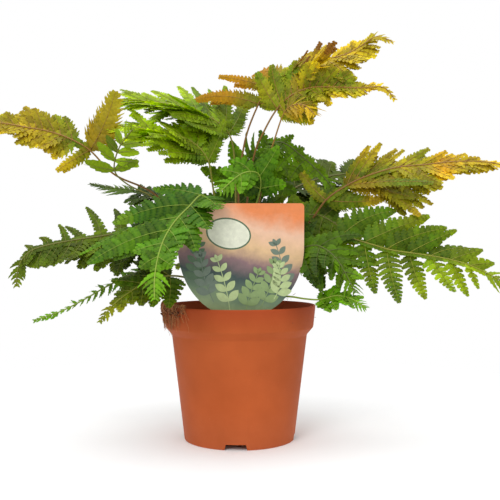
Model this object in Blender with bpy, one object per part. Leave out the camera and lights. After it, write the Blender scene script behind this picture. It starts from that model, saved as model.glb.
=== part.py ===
"""A potted autumn fern: a thin 12 cm plastic pot, its plug of peat, a label on a stake, a tuft of dry
roots over the rim, and one solid for each frond.

Lengths are in millimetres until a mesh is made. The origin is on the pot's axis, on the surface that it
stands on. The front of the pot, with the label, faces -Y.
"""
import math
import random

import bpy
from mathutils import Vector
from mathutils.bvhtree import BVHTree

METRES = 0.001
GAP = 0.3

# Pot
POT_SIDES = 36
SHARP_ANGLE = math.radians(30.0)
WALL = 1.2
FOOT_RADIUS = 43.4
BODY_RADIUS = 53.3
BODY_TOP = 82.0
BAND_RADIUS = 58.3
BAND_BOTTOM = 88.0
LIP_RADIUS = 60.0
POT_HEIGHT = 105.0
LIP_DROP = 1.0
LIP_EDGE = 0.4
BASE_UNDERSIDE = 4.6
NOTCH_COUNT = 4
NOTCH_TURN = math.radians(-2.9)
NOTCH_TOP_WIDTH = 15.0
NOTCH_FOOT_WIDTH = 18.0
CUT_BEYOND = 2.0
DRAIN_COUNT = 6
DRAIN_RADIUS = 4.0
DRAIN_SIDES = 8
DRAIN_CIRCLE = 25.0

# Soil
SOIL_TOP = 97.0
SOIL_FALL = 3.0
SOIL_SIDES = 20
SOIL_RINGS = (15.0, 30.0, 44.0)
SOIL_LUMP = 1.8
SOIL_LUMPS_FROM = 93.0
SOIL_PLAY = 0.4
HOLE_SIDES = 6
HOLE_RADIUS = 2.3
HOLE_BELOW = 1.5
HOLE_ABOVE = 4.0
ROOT_END = 76.0
CROWN_HEIGHT = 100.0
ROOT_SPREAD = 0.85

# Label
LABEL_CENTRE = 1.7
LABEL_HALF_WIDTH = 46.0
LABEL_TOP = 182.0
LABEL_STRAIGHT_END = 150.0
LABEL_BOTTOM = 98.0
LABEL_THICKNESS = 0.8
LABEL_CURVE_STEPS = 7
STAKE_HALF_WIDTH = 7.0
STAKE_SHOULDER = 80.0
STAKE_TIP = 70.0
LABEL_PLANE = -47.0
LABEL_PLANE_HEIGHT = 105.0
LABEL_LEAN = 0.065

# Dry roots over the rim, by angle round the pot
TUFT_START = math.radians(176.0)
TUFT_END = math.radians(228.0)
TUFT_HALF = 0.5
TUFT_OFF_WALL = 1.1
TUFT_ENDS = (99.0, 91.0, 95.0, 86.0, 88.0, 84.0, 93.0, 86.5, 99.0)
TUFT_COURSE = ((56.0, 98.5), (57.2, 102.5), (58.2, 106.4), (60.4, 106.6), (61.4, 103.5))

# Fronds
STALK_HALF_FOOT = 1.0
STALK_HALF_TIP = 0.45
STALK_SEGMENTS = 7
PINNA_FOOT_HALF = 0.9
RIB_HALF = 0.55
RIB_HALF_TIP = 0.3
BLADE_HALF = 0.32
PINNA_HALF = 0.5
SPAN_LEAST = 0.8
INNER_RIB = 0.8
LEAFLET_PITCH = 15.6
LEAFLET_MOST = 5
LEAFLET_LEAN = 0.35
LEAFLET_ARCH = 0.16
LEAFLET_LAST = 0.86
PINNA_BARE = 0.09
PINNA_OFF = 1.6
PINNA_LEAST = 4.0
OUTLINE_FOOT = 0.75
OUTLINE_WIDENS = 2.4
OUTLINE_TAPER = 0.62
BLADE_FOOT = 0.8
BLADE_WIDENS = 1.4
BLADE_TAPER = 0.85
PINNA_SWEEP = 0.35
ANGLE_SPREAD = math.radians(9.0)
ANGLE_LEAST = math.radians(26.0)
LENGTH_SPREAD = 0.16
SAG_SPREAD = 0.8
TWIST_SPREAD = 0.3
PINNA_TWIST = math.radians(12.0)
PINNA_COVER = 0.62
RACHIS_ROOM = 1.6
PAIRS_CLOSE = 0.25
TERMINAL_PAIRS = 4
TERMINAL_FILL = 3.0
TERMINAL_ROOM = 2
TERMINAL_FROM = 2.15
TERMINAL_SPAN = 0.6
TERMINAL_LEAST = 1.2
SPINE_STEPS = 8
COURSE_STEPS = 16
CLEARANCE = 0.5
KEEP_OUT = 1.5
KEEP_OUT_FROM = 60.0
KEEP_OUT_SIDES = 24
BENDS = (0.0, 10.0, -10.0, 20.0, -20.0, 30.0, -30.0, 42.0, -42.0)
SHRINKS = (1.0, 0.8, 0.6, 0.4)

# Each frond: crown is where its stalk leaves the soil, course its way from there, and bare how many of those
# points are stalk. pairs counts its pinnae, reach is the longest pinna on the left and on the right, and wide
# its half width over its length on either side. cut is the share of that width left between leaflets, and
# taper how fast the pinnae shorten to the tip. angles are a pinna's angle to the rachis at the foot and at
# the tip of the blade, and turned what either side adds to them. face lists the directions that the blade
# turns up from its foot to its tip, lift is the rise of the left and the right pinnae out of the blade's
# plane, and droop how strongly they sag. special gives the length, angle, lift, droop and half width of
# single pinnae, by pair and by side (-1 left, 1 right).
FRONDS = (
    dict(name="frond_top_gold", colour="gold", crown=(4, 2), bare=5,
         pairs=8, reach=(28, 48), wide=(0.34, 0.26), cut=0.5,
         course=((0, 2, 139), (-1, 1, 176), (0, 0, 205), (5, -2, 237), (15, -4, 263), (26, -6, 282),
                 (45, -8, 291), (64, -10, 296), (82, -12, 300), (94, -14, 306), (106, -16, 313),
                 (119, -18, 308)),
         angles=(64, 44), face=((0.0, -0.8, 0.6), (-0.2, -0.6, 0.75), (-0.2, -0.6, 0.8)), lift=(0, 0),
         droop=0.3, special={(0, -1): (68, 84, 0, 1.2, 0.06), (1, -1): (44, 100, 0, 0.8, 0.05),
                             (2, -1): (34, 122, 0, 0.5, 0.22)}),
    dict(name="frond_left_gold", colour="gold", crown=(-13, 0), bare=6,
         pairs=7, reach=(19, 21), wide=(0.34, 0.42), cut=0.5,
         course=((-17, -4, 130), (-28, -12, 154), (-44, -20, 173), (-68, -26, 193), (-94, -30, 205),
                 (-112, -33, 223), (-128, -36, 232), (-144, -38, 237), (-157, -40, 239),
                 (-177, -42, 242), (-197, -44, 240), (-214, -45, 234)),
         angles=(72, 40), face=((0.0, -0.9, 0.4), (0.0, -0.7, 0.7)), lift=(0, 0), droop=0.25,
         special={(0, 1): (46, 88, 0, 0.0, 0.28), (0, -1): (30, 66, 0, 0.5, 0.08)}),
    dict(name="frond_right_gold", colour="gold", crown=(14, -2), bare=5,
         pairs=8, reach=(50, 58), wide=(0.3, 0.28), cut=0.5, taper=1.35,
         course=((15, -8, 131), (33, -14, 150), (47, -19, 162), (56, -22, 172), (66, -26, 186),
                 (80, -29, 196), (97, -31, 204), (118, -33, 210), (140, -35, 212), (162, -37, 214),
                 (187, -39, 213), (213, -41, 206)),
         angles=(56, 30), turned=(-18, 0),
         face=((0.0, -0.75, 0.65), (-0.15, -0.6, 0.8), (-0.15, -0.5, 0.85), (-0.1, -0.5, 0.85)),
         lift=(0, -14), droop=0.25,
         special={(0, -1): (56, 104, 0, 0.0, 0.04), (1, 1): (66, 34, 0, 0.1, 0.06)}),
    dict(name="frond_right_green", colour="green", crown=(13, -8), bare=4,
         pairs=7, reach=(52, 48), wide=(0.4, 0.15), cut=0.3,
         course=((18, -20, 128), (35, -30, 144), (54, -38, 156), (75, -45, 158), (94, -50, 153),
                 (111, -54, 148), (131, -58, 145), (148, -61, 142), (165, -64, 137), (185, -67, 127),
                 (196, -69, 120)),
         angles=(88, 48), turned=(-36, -14), face=((0.1, -0.55, 0.83), (0.1, -0.55, 0.83)), lift=(20, -30),
         droop=0.3),
    dict(name="frond_left_olive", colour="olive", crown=(-15, -7), bare=4,
         pairs=8, reach=(34, 38), wide=(0.28, 0.13), cut=0.5, taper=0.9,
         course=((-18, -14, 131), (-28, -24, 150), (-42, -32, 162), (-58, -40, 165), (-80, -46, 162),
                 (-101, -51, 158), (-120, -56, 155), (-139, -60, 151), (-150, -63, 146),
                 (-156, -65, 136), (-157, -67, 122)),
         angles=(72, 46), turned=(0, 26), face=((0.0, -0.7, 0.7), (-0.2, -0.7, 0.7)), lift=(-10, 5),
         droop=0.2),
    dict(name="frond_front_bright", colour="bright", crown=(-7, -15), bare=4,
         pairs=6, reach=(29, 36), wide=(0.3, 0.3), cut=0.35,
         course=((-8, -24, 139), (-15, -33, 165), (-21, -41, 182), (-27, -51, 188), (-35, -64, 179),
                 (-44, -76, 168), (-50, -88, 156), (-53, -100, 143), (-54, -110, 129), (-53, -118, 116)),
         angles=(80, 50), face=((-0.1, -0.7, 0.75), (0.0, -1.0, 0.3)), lift=(0, 0), droop=0.3,
         special={(1, 1): (62, 62, 0, 0.3, 0.15), (2, 1): (76, 59, 0, 0.2, 0.12),
                  (3, 1): (60, 62, 0, 0.2, 0.14)}),
    dict(name="frond_left_arching", colour="green", crown=(-4, 1), bare=4,
         pairs=6, reach=(58, 58), wide=(0.26, 0.26), cut=0.45,
         course=((-1, 6, 138), (-3, 12, 176), (-4, 16, 217), (-9, 17, 243), (-28, 15, 258),
                 (-48, 12, 264), (-68, 8, 267), (-87, 3, 267), (-104, -3, 260)),
         angles=(66, 38), face=((0.0, -0.42, 0.9), (-0.1, -0.42, 0.9)), lift=(0, 0), droop=0.1),
    dict(name="frond_left_middle", colour="green", crown=(-8, -3), bare=4,
         pairs=5, reach=(58, 52), wide=(0.28, 0.28), cut=0.45,
         course=((-9, -6, 139), (-17, -10, 175), (-21, -12, 200), (-24, -14, 217), (-33, -16, 229),
                 (-46, -18, 236), (-61, -20, 239), (-79, -22, 242), (-98, -24, 243)),
         angles=(66, 38), face=((0.0, -0.4, 0.92), (-0.1, -0.4, 0.92)), lift=(0, 0), droop=0.15),
    dict(name="frond_top_lower", colour="gold", crown=(3, -5), bare=5,
         pairs=6, reach=(36, 30), wide=(0.34, 0.34), cut=0.45, taper=1.7,
         course=((3, -8, 139), (5, -12, 175), (11, -17, 219), (19, -20, 239), (29, -22, 256),
                 (40, -25, 266), (54, -28, 271), (72, -30, 271), (91, -32, 270), (108, -34, 270),
                 (117, -36, 260)),
         angles=(72, 45), face=((0.0, -0.9, 0.45), (0.0, -0.7, 0.7)), lift=(0, 0), droop=0.3),
    dict(name="frond_top_small", colour="gold", crown=(8, -6), bare=5,
         pairs=3, reach=(18, 18), wide=(0.14, 0.14), cut=0.9,
         course=((10, -14, 139), (15, -22, 183), (21, -28, 212), (27, -32, 232), (34, -36, 251),
                 (42, -40, 256), (50, -43, 254), (56, -46, 247)),
         angles=(65, 40), face=((0.0, -0.8, 0.6), (0.3, -0.8, 0.6)), lift=(0, 0), droop=0.3),
    dict(name="frond_left_young", colour="olive", crown=(-9, -9), bare=6,
         pairs=4, reach=(20, 18), wide=(0.12, 0.12), cut=0.9,
         course=((-10, -18, 134), (-22, -30, 158), (-39, -39, 172), (-65, -46, 188), (-81, -50, 196),
                 (-90, -53, 206), (-86, -56, 222), (-75, -58, 236)),
         angles=(80, 55), face=((0.0, -1.0, 0.2), (0.0, -1.0, 0.2)), lift=(0, 0), droop=0.1),
    dict(name="frond_middle_light", colour="bright", crown=(1, -13), bare=3,
         pairs=4, reach=(22, 22), wide=(0.42, 0.42), cut=0.5,
         course=((4, -20, 139), (10, -29, 172), (16, -35, 194), (14, -40, 205), (2, -46, 204),
                 (-14, -52, 190)),
         angles=(75, 45), face=((0.0, -1.0, 0.3), (0.0, -0.8, 0.6)), lift=(0, 0), droop=0.2),
    dict(name="frond_left_long_low", colour="bright", crown=(-19, -2), bare=3,
         pairs=7, reach=(14, 14), wide=(0.14, 0.14), cut=0.9, taper=1.8,
         course=((-23, -8, 121), (-42, -14, 134), (-61, -20, 138), (-78, -26, 131), (-97, -32, 122),
                 (-114, -37, 112), (-131, -41, 103), (-151, -45, 96)),
         angles=(70, 35), face=((0.0, -0.6, 0.8), (0.0, -0.6, 0.8)), lift=(0, 0), droop=0.3),
    dict(name="frond_left_short_low", colour="green", crown=(-14, -14), bare=3,
         pairs=5, reach=(30, 30), wide=(0.26, 0.26), cut=0.35, taper=1.6,
         course=((-21, -24, 116), (-35, -34, 126), (-51, -43, 129), (-66, -51, 125), (-78, -58, 118),
                 (-89, -64, 109), (-98, -69, 97)),
         angles=(70, 40), face=((0.0, -0.6, 0.8), (-0.3, -0.7, 0.6)), lift=(0, 0), droop=0.3),
    dict(name="frond_right_dark", colour="dark", crown=(10, -14), bare=3,
         pairs=7, reach=(38, 38), wide=(0.2, 0.2), cut=0.4,
         course=((17, -26, 122), (31, -36, 138), (46, -43, 149), (58, -52, 151), (69, -61, 143),
                 (76, -68, 131), (82, -73, 118)),
         angles=(75, 45), face=((0.3, -0.8, 0.5), (0.5, -0.8, 0.3)), lift=(0, 0), droop=0.4),
    dict(name="frond_right_low", colour="bright", crown=(17, -18), bare=4,
         pairs=4, reach=(15, 15), wide=(0.3, 0.3), cut=0.35,
         course=((23, -32, 112), (36, -46, 114), (48, -58, 113), (58, -66, 113), (69, -71, 116),
                 (79, -75, 114), (89, -78, 108)),
         angles=(60, 40), face=((0.0, -0.5, 0.87), (0.0, -0.5, 0.87)), lift=(0, 0), droop=0.2),
    dict(name="frond_middle_dark", colour="dark", crown=(3, 9), bare=2,
         pairs=4, reach=(44, 44), wide=(0.34, 0.34), cut=0.4,
         course=((4, 15, 138), (2, 22, 173), (-1, 24, 197), (3, 22, 215), (11, 18, 228), (22, 15, 236)),
         angles=(75, 45), face=((0.0, -1.0, 0.2), (0.0, -1.0, 0.2)), lift=(0, 0), droop=0.3),
    dict(name="frond_right_middle", colour="dark", crown=(9, 3), bare=3,
         pairs=7, reach=(10, 34), wide=(0.24, 0.22), cut=0.35,
         course=((11, 5, 138), (14, 8, 172), (17, 9, 205), (22, 7, 230), (34, 4, 234), (50, 0, 222),
                 (66, -4, 206), (78, -7, 190)),
         angles=(80, 50), turned=(0, 34), face=((0.0, -1.0, 0.3), (0.0, -1.0, 0.4)), lift=(0, 0),
         droop=0.4),
    dict(name="frond_right_inner", colour="olive", crown=(20, -3), bare=3,
         pairs=4, reach=(28, 32), wide=(0.24, 0.24), cut=0.4,
         course=((21, -6, 131), (32, -12, 158), (45, -16, 172), (60, -20, 175), (76, -24, 166),
                 (88, -28, 152)),
         angles=(80, 48), turned=(0, 14), face=((0.2, -0.9, 0.5), (0.2, -0.8, 0.6)), lift=(0, 0),
         droop=0.4),
    dict(name="frond_back_left_dark", colour="dark", crown=(-13, 7), bare=2,
         pairs=3, reach=(30, 30), wide=(0.3, 0.3), cut=0.4,
         course=((-14, 16, 138), (-28, 26, 166), (-45, 36, 184), (-68, 44, 193), (-90, 50, 199),
                 (-112, 55, 202), (-131, 58, 206)),
         angles=(75, 40), face=((0.0, -0.4, 0.9), (0.0, -0.4, 0.9)), lift=(0, 0), droop=0.3),
    dict(name="frond_back_right", colour="olive", crown=(10, 8), bare=3,
         pairs=4, reach=(42, 42), wide=(0.32, 0.32), cut=0.45,
         course=((8, 22, 138), (18, 40, 169), (41, 62, 198), (73, 85, 213), (110, 100, 220),
                 (150, 103, 226), (178, 103, 228)),
         angles=(70, 40), face=((0.0, -0.9, 0.5), (0.0, -0.2, 1.0)), lift=(0, 0), droop=0.3),
    dict(name="frond_back_low_right", colour="dark", crown=(13, 11), bare=2,
         pairs=3, reach=(36, 36), wide=(0.34, 0.34), cut=0.45,
         course=((23, 24, 130), (41, 42, 147), (65, 58, 153), (93, 70, 149), (119, 80, 137)),
         angles=(75, 45), face=((0.0, -0.9, 0.5), (0.0, -0.1, 1.0)), lift=(0, 0), droop=0.3),
    dict(name="frond_back_middle", colour="green", crown=(2, 14), bare=2,
         pairs=3, reach=(42, 42), wide=(0.34, 0.34), cut=0.45,
         course=((1, 30, 130), (1, 52, 157), (1, 78, 172), (3, 98, 172), (4, 114, 163)),
         angles=(75, 45), face=((0.0, -0.9, 0.5), (0.0, 0.0, 1.0)), lift=(0, 0), droop=0.3),
    dict(name="frond_back_far_left", colour="green", crown=(-8, 13), bare=2,
         pairs=4, reach=(42, 42), wide=(0.32, 0.32), cut=0.45,
         course=((-8, 24, 132), (-21, 50, 153), (-45, 74, 166), (-77, 92, 168), (-110, 101, 163),
                 (-139, 104, 156)),
         angles=(70, 40), face=((0.0, -0.9, 0.5), (0.0, -0.2, 1.0)), lift=(0, 0), droop=0.3),
)

# Colour, roughness
FINISHES = {
    "pot": ((0.48, 0.12, 0.035), 0.45),
    "soil": ((0.045, 0.028, 0.018), 0.95),
    "label": ((0.72, 0.55, 0.42), 0.4),
    "dry_roots": ((0.19, 0.09, 0.04), 0.85),
    "gold": ((0.42, 0.30, 0.02), 0.5),
    "olive": ((0.20, 0.24, 0.03), 0.5),
    "green": ((0.09, 0.20, 0.02), 0.5),
    "bright": ((0.16, 0.34, 0.02), 0.5),
    "dark": ((0.03, 0.09, 0.015), 0.5),
}


def clear_scene():
    for obj in list(bpy.data.objects):
        bpy.data.objects.remove(obj, do_unlink=True)


def finish_of(name):
    """The finish's material, made the first time that it is asked for."""
    material = bpy.data.materials.get(name)
    if material:
        return material
    colour, roughness = FINISHES[name]
    material = bpy.data.materials.new(name)
    material.use_nodes = True
    shader = material.node_tree.nodes["Principled BSDF"]
    shader.inputs["Base Color"].default_value = (*colour, 1.0)
    shader.inputs["Roughness"].default_value = roughness
    return material


def make_object(name, points, faces, finish=None):
    """An object whose mesh has these points, given in millimetres."""
    mesh = bpy.data.meshes.new(name)
    mesh.from_pydata([tuple(Vector(p) * METRES) for p in points], [], faces)
    mesh.update()
    obj = bpy.data.objects.new(name, mesh)
    bpy.context.scene.collection.objects.link(obj)
    if finish:
        mesh.materials.append(finish_of(finish))
    return obj


def smooth(obj):
    """Shades a turned shape smooth round its axis, with its edges kept sharp."""
    obj.data.shade_smooth()
    obj.data.set_sharp_from_angle(angle=SHARP_ANGLE)


def cut(obj, points, faces):
    """Cuts these closed shapes out of an object."""
    cutter = make_object(obj.name + "_cutter", points, faces)
    cutter.hide_render = True
    cutter.display_type = "WIRE"
    modifier = obj.modifiers.new("Cut", "BOOLEAN")
    modifier.operation = "DIFFERENCE"
    modifier.object = cutter


def turn(radius, angle, height):
    return Vector((radius * math.cos(angle), radius * math.sin(angle), height))


def lathe(profile, sides, height_at=None):
    """A turned shape from a profile of (radius, height) that starts and ends on the axis."""
    points = []
    rings = []
    for radius, height in profile:
        count = sides if radius else 1
        rings.append([len(points) + k for k in range(count)])
        for k in range(count):
            angle = 2 * math.pi * k / sides
            rise = height_at(radius, angle, height) if height_at else 0.0
            points.append(turn(radius, angle, height + rise))
    faces = []
    for low, high in zip(rings, rings[1:]):
        for k in range(sides):
            after = (k + 1) % sides
            if len(low) == 1:
                faces.append((low[0], high[after], high[k]))
            elif len(high) == 1:
                faces.append((low[k], low[after], high[0]))
            else:
                faces.append((low[k], low[after], high[after], high[k]))
    return points, faces


def prism(outline, depth):
    """A closed shape between an outline and the same outline moved by depth."""
    count = len(outline)
    points = [Vector(p) for p in outline] + [Vector(p) + depth for p in outline]
    faces = [tuple(range(count))[::-1], tuple(range(count, 2 * count))]
    for k in range(count):
        after = (k + 1) % count
        faces.append((k, after, count + after, count + k))
    return points, faces


def joined(shapes):
    """Several point and face lists as one."""
    points, faces = [], []
    for more_points, more_faces in shapes:
        start = len(points)
        points.extend(more_points)
        faces.extend(tuple(start + k for k in face) for face in more_faces)
    return points, faces


def wall_radius(height):
    """The radius of the pot's outer wall at a height."""
    for (r0, z0), (r1, z1) in (
        ((FOOT_RADIUS, 0.0), (BODY_RADIUS, BODY_TOP)),
        ((BODY_RADIUS, BODY_TOP), (BAND_RADIUS, BAND_BOTTOM)),
        ((BAND_RADIUS, BAND_BOTTOM), (LIP_RADIUS, POT_HEIGHT)),
    ):
        if height <= z1:
            return r0 + (r1 - r0) * (height - z0) / (z1 - z0)
    return LIP_RADIUS


def make_pot():
    floor = BASE_UNDERSIDE + WALL
    profile = (
        (0.0, BASE_UNDERSIDE),
        (wall_radius(BASE_UNDERSIDE) - WALL, BASE_UNDERSIDE),
        (FOOT_RADIUS - WALL, 0.0),
        (FOOT_RADIUS, 0.0),
        (BODY_RADIUS, BODY_TOP),
        (BAND_RADIUS, BAND_BOTTOM),
        (LIP_RADIUS, POT_HEIGHT - LIP_DROP),
        (LIP_RADIUS - LIP_EDGE, POT_HEIGHT),
        (LIP_RADIUS - WALL, POT_HEIGHT),
        (BAND_RADIUS - WALL, BAND_BOTTOM + WALL),
        (BODY_RADIUS - WALL, BODY_TOP + WALL),
        (wall_radius(floor) - WALL, floor),
        (0.0, floor),
    )
    pot = make_object("pot", *lathe(profile, POT_SIDES), "pot")
    smooth(pot)
    cutters = []
    for k in range(NOTCH_COUNT):
        angle = -math.pi / 2 + NOTCH_TURN + 2 * math.pi * k / NOTCH_COUNT
        outward = turn(1.0, angle, 0.0)
        sideways = turn(1.0, angle + math.pi / 2, 0.0)
        start = outward * (FOOT_RADIUS - WALL - CUT_BEYOND)
        low = Vector((0, 0, -CUT_BEYOND))
        high = Vector((0, 0, BASE_UNDERSIDE - GAP))
        outline = [
            start - sideways * NOTCH_FOOT_WIDTH / 2 + low,
            start + sideways * NOTCH_FOOT_WIDTH / 2 + low,
            start + sideways * NOTCH_TOP_WIDTH / 2 + high,
            start - sideways * NOTCH_TOP_WIDTH / 2 + high,
        ]
        cutters.append(prism(outline, outward * (WALL + 2 * CUT_BEYOND)))
    for k in range(DRAIN_COUNT):
        centre = turn(DRAIN_CIRCLE, 2 * math.pi * (k + 0.5) / DRAIN_COUNT, BASE_UNDERSIDE - WALL)
        corners = [2 * math.pi * j / DRAIN_SIDES for j in range(DRAIN_SIDES)]
        outline = [centre + turn(DRAIN_RADIUS, corner, 0.0) for corner in corners]
        cutters.append(prism(outline, Vector((0, 0, 3 * WALL))))
    cut(pot, *joined(cutters))


def soil_lumps(radius, angle, height):
    """The rise of the peat's surface: lumps, none at the wall."""
    if height < SOIL_LUMPS_FROM:
        return 0.0
    share = min(radius / BAND_RADIUS, 1.0)
    lumps = math.sin(3 * angle + radius * 0.21) + 0.7 * math.sin(7 * angle - radius * 0.13)
    return SOIL_LUMP * lumps * share * (1.0 - share)


def soil_level(radius):
    return SOIL_TOP - SOIL_FALL * (radius / BAND_RADIUS) ** 2


def make_soil(fronds):
    floor = BASE_UNDERSIDE + WALL + GAP
    inset = WALL + SOIL_PLAY
    rim_level = soil_level(BAND_RADIUS)
    profile = [
        (0.0, floor),
        (wall_radius(floor) - inset, floor),
        (BODY_RADIUS - inset, BODY_TOP + WALL),
        (BAND_RADIUS - inset, BAND_BOTTOM + WALL),
        (wall_radius(rim_level) - inset, rim_level),
    ]
    profile += [(radius, soil_level(radius)) for radius in reversed(SOIL_RINGS)]
    profile.append((0.0, SOIL_TOP))
    soil = make_object("soil", *lathe(profile, SOIL_SIDES, soil_lumps), "soil")
    smooth(soil)
    cutters = []
    for frond in fronds:
        foot, head = frond.buried()
        way = (head - foot).normalized()
        foot = foot - way * HOLE_BELOW
        ring = [foot + turn(HOLE_RADIUS, 2 * math.pi * k / HOLE_SIDES, 0.0) for k in range(HOLE_SIDES)]
        cutters.append(prism(ring, head + way * HOLE_ABOVE - foot))
    half = STAKE_HALF_WIDTH + 2 * GAP
    slot = LABEL_THICKNESS / 2 + SOIL_PLAY
    corners = [(-half, slot), (half, slot), (half, -slot), (-half, -slot)]
    low = STAKE_TIP - 2 * GAP
    high = SOIL_TOP + HOLE_ABOVE
    outline = [label_point(x, low) + Vector((0, y, 0)) for x, y in corners][::-1]
    cutters.append(prism(outline, label_point(0, high) - label_point(0, low)))
    cut(soil, *joined(cutters))


def label_point(x, height):
    """A point of the label's middle plane, x from its centre line."""
    y = LABEL_PLANE - (height - LABEL_PLANE_HEIGHT) * LABEL_LEAN
    return Vector((LABEL_CENTRE + x, y, height))


def label_outline():
    """The label's outline: square top corners, a round foot, and a pointed stake."""
    drop = LABEL_STRAIGHT_END - LABEL_BOTTOM
    last = math.acos(STAKE_HALF_WIDTH / LABEL_HALF_WIDTH)
    curve = []
    for k in range(LABEL_CURVE_STEPS + 1):
        angle = last * k / LABEL_CURVE_STEPS
        curve.append((LABEL_HALF_WIDTH * math.cos(angle), LABEL_STRAIGHT_END - drop * math.sin(angle)))
    right = [(LABEL_HALF_WIDTH, LABEL_TOP)] + curve + [(STAKE_HALF_WIDTH, STAKE_SHOULDER)]
    left = [(-x, z) for x, z in reversed(right)]
    return right + [(0.0, STAKE_TIP)] + left


def make_label():
    shift = Vector((0, LABEL_THICKNESS / 2, 0))
    outline = [label_point(x, z) - shift for x, z in label_outline()]
    make_object("label", *prism(outline, 2 * shift), "label")


class Sheet:
    """A thin surface of triangles with a normal and half a thickness at each point."""

    def __init__(self):
        self.points = []
        self.normals = []
        self.halves = []
        self.faces = []

    def add(self, point, normal, half):
        self.points.append(point)
        self.normals.append(normal)
        self.halves.append(half)
        return len(self.points) - 1

    def take(self, other, shared):
        """Adds another sheet, whose first points are this sheet's points listed in shared."""
        index = list(shared)
        for k in range(len(shared), len(other.points)):
            index.append(self.add(other.points[k], other.normals[k], other.halves[k]))
        self.faces.extend(tuple(index[k] for k in face) for face in other.faces)

    def solid_after(self, count, more):
        """The closed shape without the first count triangles of the surface."""
        rest = Sheet()
        rest.take(self, ())
        rest.faces = self.faces[count:]
        return rest.solid(more)

    def solid(self, more=0.0):
        """The closed shape: both faces, split into triangles alike, and the walls along the outline."""
        count = len(self.points)
        offsets = [n * (h + more) for n, h in zip(self.normals, self.halves)]
        points = [p + o for p, o in zip(self.points, offsets)]
        points += [p - o for p, o in zip(self.points, offsets)]
        faces = list(self.faces)
        faces += [(c + count, b + count, a + count) for a, b, c in self.faces]
        edges = {(a, b) for face in self.faces for a, b in zip(face, face[1:] + face[:1])}
        for a, b in sorted(edges):
            if (b, a) not in edges:
                faces.append((b, a, a + count))
                faces.append((b, a + count, b + count))
        return points, faces


class Blocker:
    """A shape that pinnae keep clear of."""

    def __init__(self, points, faces):
        self.tree = BVHTree.FromPolygons(points, faces)
        self.low = [min(p[k] for p in points) for k in range(3)]
        self.high = [max(p[k] for p in points) for k in range(3)]

    def meets(self, other):
        for k in range(3):
            if self.low[k] > other.high[k] or other.low[k] > self.high[k]:
                return False
        return bool(self.tree.overlap(other.tree))


class Spine:
    """A smooth curve through a frond's points, straight at first, read by the share of its length."""

    def __init__(self, points):
        self.points = [points[0]]
        self.marks = [0]
        for k in range(1, len(points) - 1):
            self.marks.append(len(self.points))
            before, start, end = points[k - 1], points[k], points[k + 1]
            beyond = points[k + 2] if k + 2 < len(points) else end + (end - start)
            for step in range(SPINE_STEPS):
                self.points.append(through(before, start, end, beyond, step / SPINE_STEPS))
        self.marks.append(len(self.points))
        self.points.append(points[-1])
        self.lengths = [0.0]
        for a, b in zip(self.points, self.points[1:]):
            self.lengths.append(self.lengths[-1] + (b - a).length)

    def share_at(self, mark):
        return self.lengths[self.marks[mark]] / self.lengths[-1]

    def at(self, share):
        """The point and the direction at a share of the length."""
        want = share * self.lengths[-1]
        k = 0
        while k < len(self.points) - 2 and self.lengths[k + 1] < want:
            k += 1
        step = self.points[k + 1] - self.points[k]
        along = (want - self.lengths[k]) / step.length
        before = self.points[max(k - 1, 0)]
        after = self.points[min(k + 2, len(self.points) - 1)]
        start_way = (self.points[k + 1] - before).normalized()
        end_way = (after - self.points[k]).normalized()
        return self.points[k] + step * along, start_way.lerp(end_way, along).normalized()


def through(before, start, end, beyond, t):
    """A point of the smooth curve from start to end, given the points on either side."""
    return 0.5 * (
        2 * start
        + (end - before) * t
        + (2 * before - 5 * start + 4 * end - beyond) * t**2
        + (3 * start - before - 3 * end + beyond) * t**3
    )


class Station:
    """One place along a rib: its centre, direction, right and upper side, the half width that is left
    between leaflets, and how far the leaflets reach to the left and to the right."""

    def __init__(self, centre, way, right, rib, spans, half):
        self.centre = centre
        self.way = way
        self.right = right
        self.up = right.cross(way)
        self.rib = rib
        self.spans = spans
        self.half = half


def leaflet_tip(before, station, side):
    """The point of the leaflet between two stations, on the left (-1) or the right (1)."""
    middle = (before.centre + station.centre) / 2
    reach = (before.spans[side > 0] + station.spans[side > 0]) / 2
    onward = station.way * (LEAFLET_LEAN * reach) - station.up * (LEAFLET_ARCH * reach)
    return middle + station.right * (side * reach) + onward


def grow(sheet, left, right, stations, tip):
    """Grows a rib with triangular leaflets on both sides from the edge between two points of a sheet."""
    before = None
    for station in stations:
        new_left = sheet.add(station.centre - station.right * station.rib, station.up, station.half)
        new_right = sheet.add(station.centre + station.right * station.rib, station.up, station.half)
        sheet.faces += [(left, right, new_right), (left, new_right, new_left)]
        if before:
            point = sheet.add(leaflet_tip(before, station, -1), station.up, BLADE_HALF)
            sheet.faces.append((new_left, point, left))
            point = sheet.add(leaflet_tip(before, station, 1), station.up, BLADE_HALF)
            sheet.faces.append((right, point, new_right))
        left, right, before = new_left, new_right, station
    end = sheet.add(tip, before.up, BLADE_HALF)
    sheet.faces.append((left, right, end))


def blend(a, b, share):
    return a + (b - a) * share


def outline_share(v):
    """The half width of a pinna along it, over its widest: widest near the foot, drawn out to the tip."""
    return min(1.0, OUTLINE_FOOT + OUTLINE_WIDENS * v) * max(1.0 - v, 0.0) ** OUTLINE_TAPER


def blade_share(along, taper):
    """The length of a pinna over the longest, by where on the blade it stands."""
    return min(1.0, BLADE_FOOT + BLADE_WIDENS * along) * (1.0 - along) ** taper


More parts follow.
